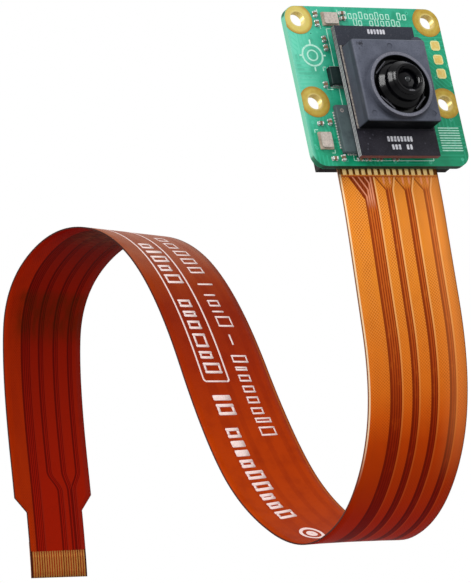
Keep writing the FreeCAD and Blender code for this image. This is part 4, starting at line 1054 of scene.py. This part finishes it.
ink += printBlocks([(x, z + reach + 0.35, tick, 0.7), (x, z - reach - 0.35, tick, 0.7),
                    (x - reach - 0.2, z, 0.4, tick), (x + reach + 0.2, z, 0.4, tick)], 0, height)
x, z, side = boardPrint["square"]
ink += printBlocks([(x, z - side / 2 + side * i / 9, side, 0.17) for i in range(10)], 0, height, 0.06)
left, right, low, high = boardPrint["outline"]
line = boardPrint["line"]
x, z, wide, tall = (left + right) / 2, (low + high) / 2, right - left, high - low
ink += printBlocks([(x, low, wide, line), (left, z, line, tall), (right, z, line, tall), (-5.6, high, 1.2, line)],
                   0, height, 0.04)
ink += printBlocks(boardPrint["marks"], 0, height, 0.04)
boardInk = joined("boardPrint", ink)

# Print on the back: lines and a ring at each of the two chips, brackets at the connector, two rows of blocks
backPrint = {"ink": 0.015, "face": 1.015, "line": 0.13, "gap": 0.35}
ink = []
height, face, line, gap = backPrint["ink"], backPrint["face"], backPrint["line"], backPrint["gap"]
for name in ("memory_chip", "regulator_chip"):
    low, high = boxOf(name)
    x, wide = (low[0] + high[0]) / 2, high[0] - low[0] + 2 * gap
    ink += printBlocks([(x, low[2] - gap, wide, line), (x, high[2] + gap, wide, line)], face, height, 0.04)
    ink.append(ringPiece("block", high[0] + gap + 0.75, high[2] + gap, 0.26, 0.1, face + sunk, height + sunk))
low, high = boxOf("connector_housing")
for side, edge in ((-1, low[0]), (1, high[0])):
    ink += printBlocks([(edge + side * 0.75, high[2] + 0.9, line, 1.6), (edge + side * 0.35, high[2] + 1.7, 0.8, line)],
                       face, height, 0.04)
ink += hollowBlocks([(-6.6 + 0.95 * i, 7.15, 0.62, 1.0 if i % 3 == 0 else 0.8) for i in range(6)], face, height, 0.15)
ink += hollowBlocks([(1.2 + 0.95 * i, -6.9, 0.6, 0.9 if i % 2 else 0.75) for i in range(5)], face, height, 0.15)
backInk = joined("backPrint", ink)
print("board print made")

sensorPrint = {
    "front": -2.1,
    "ink": 0.015,
    "rows": [{"z": 3.55, "tall": 0.72, "wide": 0.34, "places": [-0.85, -0.35, 0.15, 0.65, 1.15, 1.6]},
             {"z": -12.6, "tall": 0.78, "wide": 0.36, "places": [-1.4, -0.87, -0.34, 0.19, 0.72, 1.25, 1.78, 2.26]},
             {"z": -13.8, "tall": 0.74, "wide": 0.36, "places": [-0.9, -0.37, 0.16, 1.45, 1.98]}],
}
ink = []
for row in sensorPrint["rows"]:
    ink += printBlocks([(x, row["z"], row["wide"], row["tall"]) for x in row["places"]],
                       sensorPrint["front"], sensorPrint["ink"], 0.08)
sensorInk = joined("sensorBoardPrint", ink)


def boardInkFinish(name, light, dark):
    finish = Finish(name, {"Specular IOR Level": 0.25})
    spot = finish.place()
    grain = spot.noise(2.5, 4.0, 0.7)
    fine = spot.noise(12.0, 3.0, 0.6)
    colour = finish.mix(light, dark, grain.rise(0.4, 0.7))
    return finish.wear(colour, 0.5 + fine * 0.2, finish.bump(fine, 0.2, 0.01))


cover(boardInkFinish("mintPrint", (196, 240, 222), (140, 220, 192)), boardInk, backInk)
cover(boardInkFinish("greyPrint", (226, 226, 232), (176, 176, 186)), sensorInk)
for piece, slot in ((boardInk, "board_green"), (backInk, "board_green"), (sensorInk, "sensor_board_black")):
    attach(piece, "board")


# Solder at every soldered end: one drop modelled and copied, each copy sized to its own joint
solder = {
    "height": 0.16,
    "passiveSpread": 0.1,
    "leadSpread": 0.07,
    "round": 0.3,
    "front": ("front_capacitor_ends", "inductor_ends", "controller_leads"),
    "back": ("back_capacitor_ends", "memory_leads", "regulator_leads", "connector_tabs"),
}


def islands(name):
    # the separate solids of a node, as low and high corners in mm
    shape = bmesh.new()
    shape.from_mesh(nodes[name].data)
    bmesh.ops.remove_doubles(shape, verts=shape.verts, dist=1e-6)
    waiting = set(shape.verts)
    found = []
    while waiting:
        grown, group = [waiting.pop()], []
        while grown:
            vertex = grown.pop()
            group.append(tuple(value / mm for value in vertex.co))
            for edge in vertex.link_edges:
                other = edge.other_vert(vertex)
                if other in waiting:
                    waiting.remove(other)
                    grown.append(other)
        found.append(tuple(tuple(most(spot[i] for spot in group) for i in range(3)) for most in (min, max)))
    shape.free()
    return sorted(found)


def copied(master, change):
    # a copy with its own mesh, changed by a matrix
    copy = master.copy()
    copy.data = master.data.copy()
    bpy.context.scene.collection.objects.link(copy)
    copy.data.transform(change)
    return copy


def solderDrops(name, names, face):
    master = roundedBox("solderDrop", (-0.5, -0.5, -0.5), (0.5, 0.5, 0.5), solder["round"], 2, lambda edge: True)
    drops = []
    for node in names:
        spread = solder["leadSpread"] if "leads" in node else solder["passiveSpread"]
        for low, high in islands(node):
            size = (high[0] - low[0] + 2 * spread, solder["height"] * 2, high[2] - low[2] + 2 * spread)
            middle = [value * mm for value in ((low[0] + high[0]) / 2, face, (low[2] + high[2]) / 2)]
            drops.append(copied(master, Matrix.Translation(middle) @ Matrix.Diagonal((*size, 1))))
    bpy.data.objects.remove(master)
    return joined(name, drops)


frontSolder = solderDrops("frontSolder", solder["front"], 0.0)
backSolder = solderDrops("backSolder", solder["back"], 1.0)
cover(metalFinish("solderTin", (208, 210, 206), (150, 152, 150), 0.3, 0.75, 4.0), frontSolder, backSolder)
for piece in (frontSolder, backSolder):
    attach(piece, "board")
print("solder made,", len(frontSolder.data.polygons) + len(backSolder.data.polygons), "faces")

# Ribs moulded on the connector housing, one over each contact, and a long rail below them
housingTrim = {
    "count": 15,
    "spacing": 1.0,
    "half": 0.24,
    "top": -9.2,
    "foot": -9.95,
    "face": 3.6,
    "height": 0.09,
    "rail": (-7.4, 7.4, -11.3, -10.95),
    "round": 0.08,
}


def housingBar(left, right, foot, top):
    base, face = housingTrim["face"] - 0.02, housingTrim["face"] + housingTrim["height"]
    return roundedBox("rib", (left, base, foot), (right, face, top), housingTrim["round"], 2,
                      lambda edge: all(vertex.co.y > (face - 0.01) * mm for vertex in edge.verts))


rib = housingBar(-housingTrim["half"], housingTrim["half"], housingTrim["foot"], housingTrim["top"])
trim = []
for i in range(housingTrim["count"]):
    aside = (i - (housingTrim["count"] - 1) / 2) * housingTrim["spacing"] * mm
    trim.append(copied(rib, Matrix.Translation((aside, 0, 0))))
bpy.data.objects.remove(rib)
trim.append(housingBar(*housingTrim["rail"]))
housingRibs = joined("housingRibs", trim)
cover(connectorIvory, housingRibs)
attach(housingRibs, "board")
print("housing ribs made")

# Moulded dots at the first pins of the three chips
pinDots = {"reach": 0.3, "dish": 0.12, "height": 0.02, "inset": 0.85}
dots = []
for name, front in (("controller_chip", True), ("memory_chip", False), ("regulator_chip", False)):
    low, high = boxOf(name)
    small = min(1.0, (high[0] - low[0]) / 4)
    inset = pinDots["inset"] * small
    x = low[0] + inset if front else high[0] - inset
    face = low[1] + sunk if front else high[1] + pinDots["height"]
    dots.append(ringPiece("dot", x, high[2] - inset, pinDots["reach"] * small, pinDots["dish"] * small, face,
                          pinDots["height"] + sunk, 24))
chipDots = joined("chipDots", dots)
cover(boardInkFinish("dotPaint", (150, 142, 140), (112, 108, 108)), chipDots)
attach(chipDots, "board")
print("chip dots made")

# Turned shoulders of the focusing barrel: cones between its steps and a funnel in its mouth,
# each by its outer and inner radius, its back, its height and how far its edge is cut back
shoulders = {
    "axis": (0.0, lensZ),
    "cones": [(3.5, 2.6, -5.34, 1.35, 0.76), (2.88, 2.3, -6.6, 1.25, 0.52)],
    "funnel": (2.16, 1.52, -7.84, 0.45, 0.4),
    "lip": 0.06,
    "bead": (0.56, -7.5),
    "sides": 96,
}


def isLoop(edge, radius, y):
    # an edge of a circle round the lens axis
    x, z = shoulders["axis"]
    return all(abs(math.hypot(vertex.co.x / mm - x, vertex.co.z / mm - z) - radius) < 0.02
               and abs(vertex.co.y / mm - y) < 0.01 for vertex in edge.verts)


def cutEdge(piece, radius, y, run, segments=1):
    pick(piece, "EDGE", lambda edge: isLoop(edge, radius, y))
    bpy.ops.mesh.bevel(offset=run * mm, segments=segments, affect="EDGES")
    bpy.ops.object.mode_set(mode="OBJECT")


cones = []
for outer, inner, back, height, run in shoulders["cones"]:
    cones.append(ringPiece("cone", *shoulders["axis"], outer, inner, back, height, shoulders["sides"]))
    cutEdge(cones[-1], outer, back - height, run)
outer, inner, back, height, run = shoulders["funnel"]
funnel = ringPiece("cone", *shoulders["axis"], outer, inner, back, height, shoulders["sides"])
cutEdge(funnel, inner, back - height, run)
cutEdge(funnel, outer, back - height, shoulders["lip"], 2)
barrelShoulders = joined("barrelShoulders", cones + [funnel])
# the small front element that bulges in the middle of the window
reach, back = shoulders["bead"]
middle = (shoulders["axis"][0] * mm, back * mm, shoulders["axis"][1] * mm)
bpy.ops.object.select_all(action="DESELECT")
bpy.ops.mesh.primitive_uv_sphere_add(segments=48, ring_count=24, radius=reach * mm, location=middle)
lensBead = bpy.context.active_object
lensBead.name = "lensBead"
bpy.ops.object.transform_apply(location=True, rotation=True, scale=True)
pick(lensBead, "FACE", lambda face: True)
bpy.ops.mesh.bisect(plane_co=middle, plane_no=(0, 1, 0), use_fill=True, clear_outer=True)
bpy.ops.object.mode_set(mode="OBJECT")
cover(barrelBlack, barrelShoulders)
cover(beadGlass, lensBead)
for piece, slot in ((barrelShoulders, "barrel_black"), (lensBead, "lens_glass")):
    bpy.ops.object.select_all(action="DESELECT")
    piece.select_set(True)
    bpy.context.view_layer.objects.active = piece
    bpy.ops.object.shade_smooth_by_angle(angle=math.radians(25))
    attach(piece, "focus_barrel")
print("barrel shoulders made")


def glueFinish():
    finish = Finish("beadGlue", {"Specular IOR Level": 0.15})
    spot, x, y, z = finish.places()
    grain = spot.noise(3.0, 4.0, 0.6)
    colour = finish.mix((170, 162, 154), (120, 112, 106), grain.rise(0.35, 0.7))
    # painted shade: the bead is dark everywhere but on its left side, which keeps the glue's own beige
    lit = x.fall(-5.9, -5.7) * z.rise(-11.2, -11.0)
    colour = finish.mix((24, 24, 29), colour, lit * 0.9)
    return finish.wear(colour, 0.5 + grain * 0.15, finish.bump(grain, 0.3, 0.03))


# Bead of adhesive round the foot of the lens holder
holderBead = {"low": (-6.0, -2.28, -11.3), "high": (6.2, -2.1, 1.32), "wide": 0.24, "round": 0.06}
beadPiece = boxPiece("holderBead", holderBead["low"], holderBead["high"])
pick(beadPiece, "FACE", lambda face: abs(face.normal.y) > 0.9)
bpy.ops.mesh.inset(thickness=holderBead["wide"] * mm, depth=0)
bpy.ops.mesh.delete(type="FACE")
pick(beadPiece, "EDGE", lambda edge: edge.is_boundary)
bpy.ops.mesh.bridge_edge_loops()
pick(beadPiece, "EDGE", lambda edge: all(vertex.co.y < (holderBead["low"][1] + 0.01) * mm for vertex in edge.verts))
bpy.ops.mesh.bevel(offset=holderBead["round"] * mm, segments=2, affect="EDGES")
pick(beadPiece, "FACE", lambda face: True)
bpy.ops.mesh.normals_make_consistent(inside=False)
bpy.ops.object.mode_set(mode="OBJECT")
cover(glueFinish(), beadPiece)
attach(beadPiece, "board")
print("bead made")

# Stage: pale floor well below the cable, soft lamps, white world
stage = {
    "floorSize": 8,
    "floorDepth": -0.45,
    "floorGlow": 0.34,
    "worldLevel": 0.62,
    "lamps": {
        "keyLamp": {"place": (-0.5, -0.35, 0.38), "target": (0, 0.02, -0.02), "size": (0.05, 0.5), "power": 3.3},
        "fillLamp": {"place": (0.4, -0.4, 0.05), "target": (0, 0.02, -0.02), "size": (0.3, 0.3), "power": 0.5},
        "rimLamp": {"place": (-0.36, 0.5, 0.1), "target": (0, 0.0, -0.01), "size": (0.2, 0.2), "power": 2.4},
    },
}
bpy.ops.object.select_all(action="DESELECT")
bpy.ops.mesh.primitive_plane_add(size=stage["floorSize"], location=(0, 0, stage["floorDepth"]))
floor = bpy.context.active_object
floor.name = "floor"
paleFloor = Finish("paleFloor", {"Base Color": (0.82, 0.82, 0.82, 1), "Roughness": 0.9, "Specular IOR Level": 0.1,
                                 "Emission Strength": stage["floorGlow"]})
seenFloor = paleFloor.node("ShaderNodeLightPath")
paleFloor.feed(paleFloor.shader.inputs["Emission Color"], paleFloor.mix((0, 0, 0), (255, 255, 255), seenFloor))
# from beneath the floor is clear, so that a low view still shows the module
clear = paleFloor.node("ShaderNodeBsdfTransparent")
beneath = paleFloor.node("ShaderNodeNewGeometry", output="Backfacing")
plain = Flow(paleFloor, paleFloor.shader.outputs[0])
both = paleFloor.node("ShaderNodeMixShader", None, {0: beneath, 1: plain, 2: clear})
paleFloor.feed(paleFloor.tree.nodes["Material Output"].inputs["Surface"], both)
cover(paleFloor, floor)

for name, lamp in stage["lamps"].items():
    data = bpy.data.lights.new(name, "AREA")
    data.shape = "RECTANGLE"
    data.size, data.size_y = lamp["size"]
    data.energy = lamp["power"]
    thing = intoScene(name, data)
    thing.location = lamp["place"]
    thing.rotation_mode = "QUATERNION"
    thing.rotation_quaternion = (Vector(lamp["target"]) - Vector(lamp["place"])).to_track_quat("-Z", "Y")

# the world is white where it is seen straight, in a reflection or through glass, and gives less light
world = bpy.data.worlds.new("whiteRoom")
bpy.context.scene.world = world
world.use_nodes = True
tree = world.node_tree
background = tree.nodes["Background"]
background.inputs["Color"].default_value = (1, 1, 1, 1)
path = tree.nodes.new("ShaderNodeLightPath")
seen = path.outputs["Is Camera Ray"]
for ray in ("Is Glossy Ray", "Is Transmission Ray"):
    either = tree.nodes.new("ShaderNodeMath")
    either.operation = "MAXIMUM"
    tree.links.new(seen, either.inputs[0])
    tree.links.new(path.outputs[ray], either.inputs[1])
    seen = either.outputs[0]
level = tree.nodes.new("ShaderNodeMapRange")
level.inputs["To Min"].default_value = stage["worldLevel"]
level.inputs["To Max"].default_value = 1.0
tree.links.new(seen, level.inputs["Value"])
tree.links.new(level.outputs["Result"], background.inputs["Strength"])
bpy.context.scene.view_settings.view_transform = "Standard"
print("stage and lamps set")
